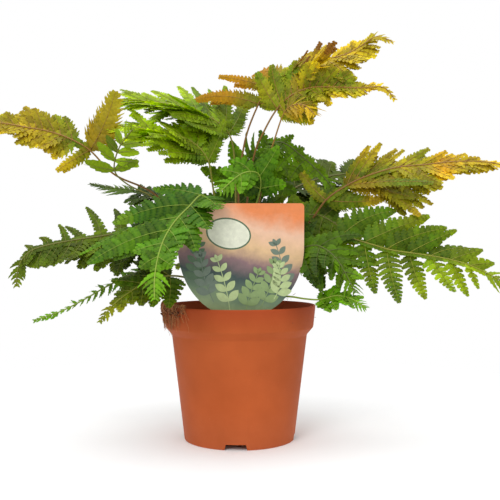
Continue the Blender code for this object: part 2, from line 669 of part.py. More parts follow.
class Pinna:
    """One side branch of a blade, with its leaflets."""

    def __init__(self, frond, pair, side, share, draws):
        turn_by, stretch, sag, roll = draws
        along = (share - frond.blade_start) / (1.0 - frond.blade_start)
        spec = frond.spec
        self.side = side
        self.frame = frond.frame(share)
        self.base = self.frame[0]
        self.stem = frond.stem
        turned = spec.get("turned", (0, 0))[side > 0]
        angle = math.radians(blend(*spec["angles"], along) + turned) + ANGLE_SPREAD * turn_by
        self.angle = max(angle, ANGLE_LEAST)
        self.lift = math.radians(spec["lift"][side > 0])
        self.droop = spec["droop"] * (1.0 + SAG_SPREAD * sag)
        self.length = frond.pinna_length(along, side) * (1.0 + LENGTH_SPREAD * stretch)
        self.cut = spec["cut"]
        wide = spec["wide"][side > 0]
        special = spec.get("special", {}).get((pair, side))
        if special:
            self.length, degrees, rise, self.droop, wide = special
            self.angle, self.lift = math.radians(degrees), math.radians(rise)
        room = PINNA_COVER * frond.spacing(along) * math.sin(self.angle)
        self.span = min(wide * self.length + 1.0, room)
        self.twist = PINNA_TWIST * (1.0 + TWIST_SPREAD * roll)
        self.bend = 0.0
        self.shrink = 1.0

    def course(self):
        """Points and directions along the rib: off at its angle, swept to the frond's tip, and sagging."""
        base, way, up, right = self.frame
        heading = way * math.cos(self.angle) + right * (self.side * math.sin(self.angle))
        lift = self.lift + math.radians(self.bend)
        heading = heading * math.cos(lift) + up * math.sin(lift)
        point = base
        steps = [(point, heading)]
        for k in range(COURSE_STEPS):
            v = (k + 0.5) / COURSE_STEPS
            onward = (heading + way * (PINNA_SWEEP * v) + Vector((0, 0, -self.droop * v))).normalized()
            point = point + onward * (self.length * self.shrink / COURSE_STEPS)
            steps.append((point, onward))
        return steps

    def station(self, steps, v):
        """The rib at a share of its length."""
        place = v * COURSE_STEPS
        k = min(int(place), COURSE_STEPS - 1)
        centre = steps[k][0].lerp(steps[k + 1][0], place - k)
        onward = steps[k][1].lerp(steps[k + 1][1], place - k).normalized()
        across = self.frame[1]
        right = (across - onward * across.dot(onward)).normalized() * -self.side
        up = right.cross(onward)
        right = right * math.cos(self.twist) + up * (math.sin(self.twist) * self.side)
        span = max(self.span * self.shrink * outline_share(v), SPAN_LEAST)
        rib = max(blend(RIB_HALF, RIB_HALF_TIP, v), self.cut * span)
        off_rachis = v * self.length * self.shrink * math.sin(self.angle) - RACHIS_ROOM
        inner = min(span, off_rachis / max(math.cos(self.angle), 0.01))
        rib = min(rib, max(inner * INNER_RIB, RIB_HALF_TIP))
        inner = max(inner, rib)
        spans = (inner, span) if self.side > 0 else (span, inner)
        return Station(centre, onward, right, rib, spans, blend(PINNA_HALF, BLADE_HALF, v))

    def sheet(self, foot):
        """The pinna as a sheet whose first two points are its foot on the rachis."""
        steps = self.course()
        length = self.length * self.shrink
        pairs = max(1, min(LEAFLET_MOST, round(length / LEAFLET_PITCH)))
        bare = max(PINNA_BARE, PINNA_OFF / math.sin(self.angle) / length)
        sheet = Sheet()
        for point in foot:
            sheet.add(point, self.frame[2], BLADE_HALF)
        shares = [blend(bare, LEAFLET_LAST, k / pairs) for k in range(pairs + 1)]
        stations = [self.station(steps, v) for v in shares]
        grow(sheet, 0, 1, stations, steps[-1][0])
        return sheet


class Frond:
    """One frond: its stalk and rachis, the leafy tip, and its pinnae."""

    def __init__(self, spec, seed):
        self.spec = spec
        self.random = random.Random(seed)
        x, y = spec["crown"]
        foot = Vector((x * ROOT_SPREAD, y * ROOT_SPREAD, ROOT_END))
        self.way_points = [foot, Vector((x, y, CROWN_HEIGHT))] + [Vector(p) for p in spec["course"]]
        self.spine = Spine(self.way_points)
        self.blade_start = self.spine.share_at(spec["bare"] + 1)
        self.blade_length = self.spine.lengths[-1] * (1.0 - self.blade_start)
        self.places = spec["pairs"] + TERMINAL_ROOM
        self.sheet = Sheet()
        self.pinnae = []
        self.feet = []
        self.build_rachis()

    def buried(self):
        return self.way_points[0], self.way_points[1]

    def spacing(self, along):
        """The distance between neighbouring pinnae on one side at a share of the blade."""
        return self.blade_length / self.places * blend(1.0 + PAIRS_CLOSE, 1.0 - PAIRS_CLOSE, along)

    def pair_share(self, k):
        """The share of the spine where the pair k leaves it: wide apart at the foot, close at the tip."""
        x = k / self.places
        return blend(self.blade_start, 1.0, (1.0 + PAIRS_CLOSE) * x - PAIRS_CLOSE * x * x)

    def frame(self, share):
        """The point, direction, upper side and right side of the blade at a share of the spine."""
        point, way = self.spine.at(share)
        along = max(0.0, (share - self.blade_start) / (1.0 - self.blade_start))
        faces = self.spec["face"]
        place = along * (len(faces) - 1)
        k = min(int(place), len(faces) - 2)
        face = Vector(faces[k]).lerp(Vector(faces[k + 1]), place - k)
        up = (face - way * face.dot(way)).normalized()
        return point, way, up, way.cross(up)

    def pinna_length(self, along, side):
        """The length of a pinna by where on the blade it stands."""
        taper = self.spec.get("taper", BLADE_TAPER)
        return self.spec["reach"][side > 0] * blade_share(along, taper) + PINNA_LEAST

    def terminal(self):
        """Where the leafy tip starts on the spine, and how far its leaflets reach there."""
        start = self.pair_share(self.places - TERMINAL_FROM)
        along = (start - self.blade_start) / (1.0 - self.blade_start)
        return start, TERMINAL_SPAN * min(self.pinna_length(along, -1), self.pinna_length(along, 1))

    def add_row(self, share):
        point, _, up, right = self.frame(share)
        half = blend(STALK_HALF_FOOT, STALK_HALF_TIP, share)
        left_point = self.sheet.add(point - right * half, up, half * 0.95)
        right_point = self.sheet.add(point + right * half, up, half * 0.95)
        return left_point, right_point

    def build_rachis(self):
        """The strip of the stalk and rachis, with a foot for each pinna, and the leafy tip."""
        total = self.spine.lengths[-1]
        foot_half = PINNA_FOOT_HALF / total
        shares = [self.blade_start * k / STALK_SEGMENTS for k in range(STALK_SEGMENTS)]
        for k in range(self.spec["pairs"]):
            share = self.pair_share(k)
            shares += [share - foot_half, share + foot_half]
        rows = [self.add_row(share) for share in shares]
        for (left, right), (next_left, next_right) in zip(rows, rows[1:]):
            self.sheet.faces += [(left, right, next_right), (left, next_right, next_left)]
        for k in range(self.spec["pairs"]):
            low, high = rows[STALK_SEGMENTS + 2 * k], rows[STALK_SEGMENTS + 2 * k + 1]
            self.feet.append((k, (low[0], high[0]), (high[1], low[1])))
        tip = Sheet()
        for index in rows[-1]:
            tip.add(self.sheet.points[index], self.sheet.normals[index], self.sheet.halves[index])
        start, span = self.terminal()
        stations = []
        for k in range(TERMINAL_PAIRS + 1):
            v = k / TERMINAL_PAIRS
            share = blend(start, 1.0 - 2.5 / total, v)
            point, way, _, right = self.frame(share)
            reach = blend(span, TERMINAL_LEAST, v)
            filled = self.spec["cut"] * reach * min(1.0, TERMINAL_FILL * v)
            rib = max(blend(RIB_HALF, RIB_HALF_TIP, v), filled)
            stations.append(Station(point, way, right, rib, (reach, reach), BLADE_HALF))
        grow(tip, 0, 1, stations, self.spine.at(1.0)[0])
        self.sheet.take(tip, rows[-1])
        self.stem = Blocker(*self.sheet.solid())

    def grow_pinnae(self, blockers):
        """Adds the pinnae, each bent clear of what stands there already, or shorter, or left out."""
        for pair, left_foot, right_foot in self.feet:
            for side, foot in ((-1, left_foot), (1, right_foot)):
                draws = [self.random.uniform(-1, 1) for _ in range(4)]
                pinna = Pinna(self, pair, side, self.pair_share(pair), draws)
                feet = [self.sheet.points[index] for index in foot]
                sheet = clear_sheet(pinna, feet, blockers)
                if sheet:
                    blockers.append(Blocker(*sheet.solid(0.15)))
                    self.pinnae.append(pinna)
                    self.sheet.take(sheet, foot)


def clear_sheet(pinna, feet, blockers):
    """The pinna's sheet at the first bend and length where it meets nothing, or None."""
    for pinna.shrink in SHRINKS:
        for pinna.bend in BENDS:
            sheet = pinna.sheet(feet)
            shape = Blocker(*sheet.solid(CLEARANCE))
            if Blocker(*sheet.solid_after(2, 0.1)).meets(pinna.stem):
                continue
            if not any(shape.meets(blocker) for blocker in blockers):
                return sheet
    return None


def tuft_sheet():
    """The tuft of dry roots: a ragged mat from the peat up inside the rim, over it and down outside."""
    sheet = Sheet()
    columns = []
    for k, end in enumerate(TUFT_ENDS):
        angle = blend(TUFT_START, TUFT_END, k / (len(TUFT_ENDS) - 1))
        course = list(TUFT_COURSE)
        for drop in (0.5, 1.0):
            height = blend(TUFT_COURSE[-1][1], end, drop)
            course.append((wall_radius(max(height, BAND_BOTTOM)) + TUFT_OFF_WALL, height))
        column = []
        for j, (radius, height) in enumerate(course):
            r0, z0 = course[max(j - 1, 0)]
            r1, z1 = course[min(j + 1, len(course) - 1)]
            way = Vector((r1 - r0, z1 - z0)).normalized()
            normal = turn(-way.y, angle, way.x)
            column.append(sheet.add(turn(radius, angle, height), normal, TUFT_HALF))
        columns.append(column)
    for first, second in zip(columns, columns[1:]):
        for a, b, c, d in zip(first, first[1:], second[1:], second):
            sheet.faces += [(a, b, c), (a, c, d)]
    return sheet


def keep_out_shapes():
    """Simple shapes a little larger than the pot with its soil, the label and the tuft."""
    outer = [
        (0.0, KEEP_OUT_FROM),
        (BODY_RADIUS + KEEP_OUT, KEEP_OUT_FROM),
        (BODY_RADIUS + KEEP_OUT, BODY_TOP - KEEP_OUT),
        (LIP_RADIUS + KEEP_OUT, BAND_BOTTOM - KEEP_OUT),
        (LIP_RADIUS + KEEP_OUT, POT_HEIGHT + KEEP_OUT),
        (LIP_RADIUS - WALL - KEEP_OUT, POT_HEIGHT + KEEP_OUT),
        (BAND_RADIUS - WALL - KEEP_OUT, SOIL_TOP + KEEP_OUT),
        (0.0, SOIL_TOP + KEEP_OUT),
    ]
    shift = Vector((0, (LABEL_THICKNESS + KEEP_OUT) / 2, 0))
    outline = [label_point(x, z) - shift for x, z in label_outline()]
    return [
        Blocker(*lathe(outer, KEEP_OUT_SIDES)),
        Blocker(*prism(outline, 2 * shift)),
        Blocker(*tuft_sheet().solid(KEEP_OUT / 2)),
    ]


def grow_fronds():
    """All fronds, each pinna bent clear of the pot, the label, all stalks and the pinnae before it."""
    fronds = [Frond(spec, seed) for seed, spec in enumerate(FRONDS, start=11)]
    blockers = keep_out_shapes()
    for frond in fronds:
        stems = [other.stem for other in fronds if other is not frond]
        pinnae = blockers + stems
        known = len(pinnae)
        frond.grow_pinnae(pinnae)
        blockers += pinnae[known:]
    return fronds


def main():
    clear_scene()
    fronds = grow_fronds()
    make_pot()
    make_soil(fronds)
    make_label()
    make_object("dry_roots", *tuft_sheet().solid(), "dry_roots")
    for frond in fronds:
        make_object(frond.spec["name"], *frond.sheet.solid(), frond.spec["colour"])


main()
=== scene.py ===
"""The looks of a potted autumn fern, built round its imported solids.

Each frond grows again on the same spine, with the same side branches bent clear in the same way, but its
branches carry many toothed leaflets on round ribs. The pot, its peat, the dry roots and the label get finer
pieces of the same form. Lengths are in millimetres until a mesh is made.
"""

import copy
import math
import random

import bmesh
import bpy
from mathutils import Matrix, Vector, noise
from mathutils.bvhtree import BVHTree

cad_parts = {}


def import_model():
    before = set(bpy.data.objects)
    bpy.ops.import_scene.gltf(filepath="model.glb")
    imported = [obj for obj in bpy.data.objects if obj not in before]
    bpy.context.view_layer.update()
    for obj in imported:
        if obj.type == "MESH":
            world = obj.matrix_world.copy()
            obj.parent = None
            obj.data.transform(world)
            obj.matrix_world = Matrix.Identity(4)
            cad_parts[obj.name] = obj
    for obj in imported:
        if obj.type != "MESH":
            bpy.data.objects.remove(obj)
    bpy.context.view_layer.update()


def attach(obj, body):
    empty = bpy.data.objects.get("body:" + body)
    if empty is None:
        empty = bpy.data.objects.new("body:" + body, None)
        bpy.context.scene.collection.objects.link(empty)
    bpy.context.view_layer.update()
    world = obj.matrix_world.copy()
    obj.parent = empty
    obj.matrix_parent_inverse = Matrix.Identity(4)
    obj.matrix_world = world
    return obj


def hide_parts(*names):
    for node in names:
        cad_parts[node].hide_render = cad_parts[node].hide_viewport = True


TINT = "tint"
METRES = 0.001
GAP = 0.3

# Pot
SHARP_ANGLE = math.radians(30.0)
WALL = 1.2
FOOT_RADIUS = 43.4
BODY_RADIUS = 53.3
BODY_TOP = 82.0
BAND_RADIUS = 58.3
BAND_BOTTOM = 88.0
LIP_RADIUS = 60.0
POT_HEIGHT = 105.0
LIP_DROP = 1.0
LIP_EDGE = 0.4
BASE_UNDERSIDE = 4.6
NOTCH_COUNT = 4
NOTCH_TURN = math.radians(-2.9)
NOTCH_TOP_WIDTH = 15.0
NOTCH_FOOT_WIDTH = 18.0
CUT_BEYOND = 2.0
DRAIN_COUNT = 6
DRAIN_RADIUS = 4.0
DRAIN_CIRCLE = 25.0

# Soil
SOIL_TOP = 97.0
SOIL_FALL = 3.0
SOIL_LUMP = 1.8
SOIL_LUMPS_FROM = 93.0
# Each wave of lumps: its height, how many go round, and how far it winds with the radius
SOIL_WAVES = ((1.0, 3, 0.21), (0.7, 7, -0.13))
SOIL_PLAY = 0.4
ROOT_END = 76.0
CROWN_HEIGHT = 100.0
ROOT_SPREAD = 0.85

# Label
LABEL_CENTRE = 1.7
LABEL_HALF_WIDTH = 46.0
LABEL_TOP = 182.0
LABEL_STRAIGHT_END = 150.0
LABEL_BOTTOM = 98.0
LABEL_THICKNESS = 0.8
LABEL_CURVE_STEPS = 7
STAKE_HALF_WIDTH = 7.0
STAKE_SHOULDER = 80.0
STAKE_TIP = 70.0
LABEL_PLANE = -47.0
LABEL_PLANE_HEIGHT = 105.0
LABEL_LEAN = 0.065

# Dry roots over the rim, by angle round the pot
TUFT_START = math.radians(176.0)
TUFT_END = math.radians(228.0)
TUFT_HALF = 0.5
TUFT_OFF_WALL = 1.1
TUFT_DROPS = (0.5, 1.0)
TUFT_ENDS = (99.0, 91.0, 95.0, 86.0, 88.0, 84.0, 93.0, 86.5, 99.0)
TUFT_COURSE = ((56.0, 98.5), (57.2, 102.5), (58.2, 106.4), (60.4, 106.6), (61.4, 103.5))

# Fronds
STALK_HALF_FOOT = 1.0
STALK_HALF_TIP = 0.45
STALK_DEPTH = 0.95
STALK_SEGMENTS = 7
PINNA_FOOT_HALF = 0.9
RIB_HALF = 0.55
RIB_HALF_TIP = 0.3
BLADE_HALF = 0.32
PINNA_HALF = 0.5
SPAN_LEAST = 0.8
SPAN_MORE = 1.0
SLANT_LEAST = 0.01
INNER_RIB = 0.8
LEAFLET_PITCH = 15.6
LEAFLET_MOST = 5
LEAFLET_LEAN = 0.35
LEAFLET_ARCH = 0.16
LEAFLET_LAST = 0.86
PINNA_BARE = 0.09
PINNA_OFF = 1.6
PINNA_LEAST = 4.0
OUTLINE_FOOT = 0.75
OUTLINE_WIDENS = 2.4
OUTLINE_TAPER = 0.62
BLADE_FOOT = 0.8
BLADE_WIDENS = 1.4
PINNA_SWEEP = 0.35
ANGLE_SPREAD = math.radians(9.0)
ANGLE_LEAST = math.radians(26.0)
LENGTH_SPREAD = 0.16
SAG_SPREAD = 0.8
TWIST_SPREAD = 0.3
PINNA_TWIST = math.radians(12.0)
PINNA_COVER = 0.62
RACHIS_ROOM = 1.6
PAIRS_CLOSE = 0.25
TERMINAL_PAIRS = 4
TERMINAL_FILL = 3.0
TERMINAL_ROOM = 2
TERMINAL_FROM = 2.15
TERMINAL_SPAN = 0.6
TERMINAL_LEAST = 1.2
TERMINAL_END = 2.5
SPINE_STEPS = 8
COURSE_STEPS = 16
CLEARANCE = 0.5
GROWN_CLEARANCE = 0.15
STEM_CLEARANCE = 0.1
KEEP_OUT = 1.5
KEEP_OUT_FROM = 60.0
KEEP_OUT_SIDES = 24
BENDS = (0.0, 10.0, -10.0, 20.0, -20.0, 30.0, -30.0, 42.0, -42.0)
SHRINKS = (1.0, 0.8, 0.6, 0.4)
FIRST_SEED = 11

# Camera, in metres: level, looking along +Y at the plant
CAMERA_PLACE = (0.0083, -0.62, 0.1481)
CAMERA_LENS = 56.3
CAMERA_SENSOR = 36.0
CAMERA_CLIP = (0.01, 20.0)

# Studio, in metres: place, what it points at, size and power of each soft light
LIGHTS = (
    ("key", (-0.55, -1.3, 1.0), (0.0, 0.0, 0.16), 0.7, 9.0),
    ("fill", (0.9, -1.1, 0.5), (0.0, 0.0, 0.14), 0.8, 2.5),
    ("top", (0.0, 0.1, 2.2), (0.0, 0.0, 0.0), 2.8, 38.0),
)
WORLD_LIGHT = 0.6
WORLD_SEEN = 1.0
FLOOR_RADIUS = 0.85
FLOOR_SIDES = 96
FLOOR_COLOUR = (0.962, 0.968, 0.974)
# Radii over which the floor turns clear: it hides the floor's edge and, as painted light, lightens its
# shadow away from the pot
FLOOR_FADE = (0.04, 0.45)
FLOOR_SHINE = 0.1

# Leaflets: between is how many pinnae are added between two of the solid's, pitch the leaflets' distance
# along the rib (none makes the whole pinna one leaflet), fused the share of their length with full width,
# neck the width at the root and cover the width in the middle over the room there, taper how round the tip
# is (small is round), tooth how far the teeth stand out, and lean how far a leaflet turns to the tip.
# over is their reach over the solid's, fuller how much more that is at the tip, and backed pinnae have a
# shorter one under them that is darkened as painted shade. A row leaves out what is usual.
REACH_OVER = 1.6
USUAL_STYLE = dict(between=0, over=REACH_OVER, fuller=0.0, backed=False)
STYLES = {
    "broad": dict(between=2, pitch=3.2, fused=0.15, neck=1.25, cover=1.2, taper=0.9, tooth=0.2, lean=0.85,
                  fuller=0.3, backed=True),
    "blunt": dict(pitch=4.3, fused=0.35, neck=1.2, cover=1.12, taper=0.45, tooth=0.14, lean=0.5,
                  backed=True),
    "comb": dict(pitch=3.8, fused=0.3, neck=1.25, cover=1.0, taper=0.4, tooth=0.08, lean=0.35),
    "tip": dict(pitch=4.0, fused=0.15, neck=0.95, cover=0.9, taper=0.7, tooth=0.15, lean=1.0),
    "single": dict(pitch=0.0, fused=0.5, neck=0.3, cover=1.0, taper=0.55, tooth=0.06, lean=0.15),
    "slim": dict(pitch=3.4, fused=0.3, neck=1.25, cover=1.1, taper=0.5, tooth=0.15, lean=0.8,
                 over=0.95),
    "thin": dict(between=1, pitch=0.0, fused=0.3, neck=0.5, cover=1.0, taper=0.8, tooth=0.2, lean=0.3),
}
# The leaflets on the left and the right side of a frond, where they aren't broad
LEAFLET_STYLE = {
    "frond_right_green": ("blunt", "comb"),
    "frond_front_bright": ("blunt", "blunt"),
    "frond_middle_light": ("blunt", "blunt"),
    "frond_middle_dark": ("blunt", "blunt"),
    "frond_left_long_low": ("thin", "thin"),
    "frond_left_short_low": ("blunt", "blunt"),
    "frond_right_low": ("blunt", "blunt"),
    "frond_left_young": ("single", "single"),
    "frond_top_small": ("thin", "thin"),
    "frond_left_olive": ("broad", "slim"),
    "frond_right_middle": ("comb", "comb"),
    "frond_right_dark": ("blunt", "blunt"),
    "frond_right_inner": ("blunt", "blunt"),
}
FINER_SPAN = 0.58
LAST_PINNA = 0.8
FINER_LENGTH_SPREAD = 0.08
FINER_SPREADS = (
    ("angle", math.radians(7.0)),
    ("lift", math.radians(13.0)),
    ("droop", 0.35),
    ("twist", math.radians(16.0)),
)
# The share of the pinnae on the lower part of the blade that have dried and curled up, by frond
DRIED_SHARE = {"frond_top_gold": 0.2}
DRIED_UP_TO = 0.5
UNDER_LIFT = math.radians(-11.0)
UNDER_LIFTS = (0.5, 1.5)
UNDER_TURN = math.radians(7.0)
UNDER_LENGTH = 0.86
UNDER_LENGTHS = (0.8, 1.0)
# Painted shade: the share of its colour kept by a pinna under another, as if in that one's shadow
UNDER_PAINTED_SHADE = 0.78
DRIED_CURL = -1.1
DRIED_WIDTH = 0.6
DRIED_FROM = 0.45
DRIED_FADE = 0.3
FINE_BARE = 0.03
LEAFLETS_LEAST = 4
LEAFLETS_END = 0.985
LEAFLETS_CLOSE = 0.4
LEAN_SPREAD = 0.25
ARCH_SPREAD = 0.6
LEAFLET_ROLL = math.radians(9.0)
ROLL_SPREAD = 0.8
TEETH_RISE = 2.0
LEAN_FOOT = 0.5
SINGLE_OVER = 1.15
INNER_LEAST = 0.45
REACH_SPREAD = 0.07
TEETH_LEAST = 2
TEETH_MOST = 5
TOOTH_PITCH = 1.9
TOOTH_FORWARD = 0.35
CREASE = 0.22
NECK_LENGTH = 0.25
SHORT_PINNA = 18.0
TIP_FUSED = 0.7
RACHIS_PITCH = 2.6
RACHIS_REACH = 3.6
CLOSE_CUT = 0.5

# Stalks, ribs and scales
STALK_STEPS = 90
STALK_SIDES = 8
STALK_FINISH = 1
RIB_SIDES = 5
RIB_RADIUS = 0.3
RIB_RADIUS_TIP = 0.1
SCALES_PER_STALK = 60
SCALES_FROM = 22.0
SCALES_LENGTH = 46.0
SCALE_LENGTHS = (1.4, 4.2)
SCALE_WIDTHS = (0.06, 0.13)
SCALES_CROWD = 1.6
SCALE_ROOT = 0.8
SCALE_MIDDLE = (0.8, 0.5)
SCALE_ALONG = 0.7
SCALE_OUT = (0.4, 1.0)
SCALE_TONES = (0.6, 1.4)
STALK_TURNS = 1.2

# Finer pot
POT_FINE_SIDES = 144
CORNER_STEPS = 4
DRAIN_FINE_SIDES = 24

# Finer peat, its crumbs, fibres and moss
PEAT_SEED = 5
PEAT_SIDES = 90
PEAT_RINGS = 26
PEAT_LUMP = 1.1
PEAT_LUMP_SIZE = 5.0
CRUMBS = 520
CRUMB_SIZES = (0.6, 1.9)
CRUMB_FLATNESS = 0.7
CRUMB_ROUGHNESS = (0.7, 1.2)
CRUMB_MARGIN = 1.5
CRUMB_PROUD = 0.2
CRUMB_TONES = (0.5, 2.0)
PEAT_EDGE = 4.0
PEAT_FRACTAL = (0.8, 2.0, 4)
FIBRES = 110
FIBRE_MARGIN = 6.0
FIBRE_STEPS = 7
FIBRE_STEP = 2.2
FIBRE_CURL = 0.25
FIBRE_RADIUS = 0.16
FIBRE_SIDES = 3
FIBRE_HEIGHTS = (0.2, 1.4)
FIBRE_TONES = (0.5, 1.5)
MOSS_TUFTS = 26
MOSS_PLACES = (0.55, 0.97)
MOSS_SHOOTS = 36
MOSS_RADIUS = 4.0
MOSS_HEIGHT = 2.6
MOSS_DOME = (1.1, 0.5)
MOSS_HEIGHTS = (0.7, 1.2)
MOSS_TIP_OUT = 0.5
MOSS_HALF = 0.22
MOSS_TONES = (0.6, 1.4)

# Root fibres over the rim
ROOT_SEED = 3
ROOT_FIBRES = 150
ROOT_STEPS = 16
ROOT_SIDES = 4
ROOT_RADII = (0.12, 0.34)
ROOT_THINS = 0.6
ROOT_DRIFT = math.radians(0.8)
ROOT_WANDER = math.radians(1.0)
ROOT_DROPS = (0.25, 0.5, 0.75, 1.0)
ROOT_DROP_LEAST = 2.0
ROOT_ENDS = (-2.5, 5.0)
ROOT_PILE = (-0.5, 0.9)
ROOT_STRAY = (-0.2, 0.3)
ROOT_TONES = (0.6, 1.3)
ROOT_CRUMBS = 130
ROOT_CRUMB_SIZES = (0.5, 1.3)
ROOT_CRUMB_OUT = 0.3
ROOT_CRUMB_FALL = 6
ROOT_CRUMB_TONES = (0.5, 1.8)

# Finer label and its print
LABEL_CORNER = 2.5
LABEL_CORNER_STEPS = 6
LABEL_FINE_STEPS = 28
INK = 0.04
LEAF_STEPS = 8
LEAF_ROUNDNESS = 0.8
LABEL_FINISHES = ("wash", "card", "ink_cream", "ink_dark", "ink_mid", "ink_light", "ink_grey")
OVAL_STEPS = 48
OVAL_PLACE = (-9.0, 160.0)
OVAL_HIGH = 11.5
OVAL_WIDE = 16.5
OVAL_RIM = 1.1
OVAL_TILT = math.radians(-10.0)
SPRIG_STEPS = 5
SPRIG_STEM = 0.28
SPRIG_LEAF = 11.0
SPRIG_NARROWS = 0.55
SPRIG_LEAF_WIDTH = 0.27
SPRIG_LEAF_ANGLE = 0.85
SPRIG_TOP_LEAF = (0.5, 0.13)
# Each printed sprig: its foot, its tilt and how far it bends in degrees, its length and its ink
SPRIGS = (
    ((-30.0, 121.0), 14.0, -30.0, 30.0, "ink_dark"),
    ((29.0, 118.0), -8.0, 34.0, 34.0, "ink_grey"),
    ((-20.0, 110.0), 24.0, -20.0, 34.0, "ink_grey"),
    ((14.0, 105.0), -26.0, 20.0, 34.0, "ink_mid"),
    ((-8.0, 103.0), 8.0, 14.0, 38.0, "ink_light"),
    ((24.0, 112.0), -30.0, 50.0, 24.0, "ink_light"),
    ((3.0, 102.0), -14.0, -10.0, 30.0, "ink_mid"),
)

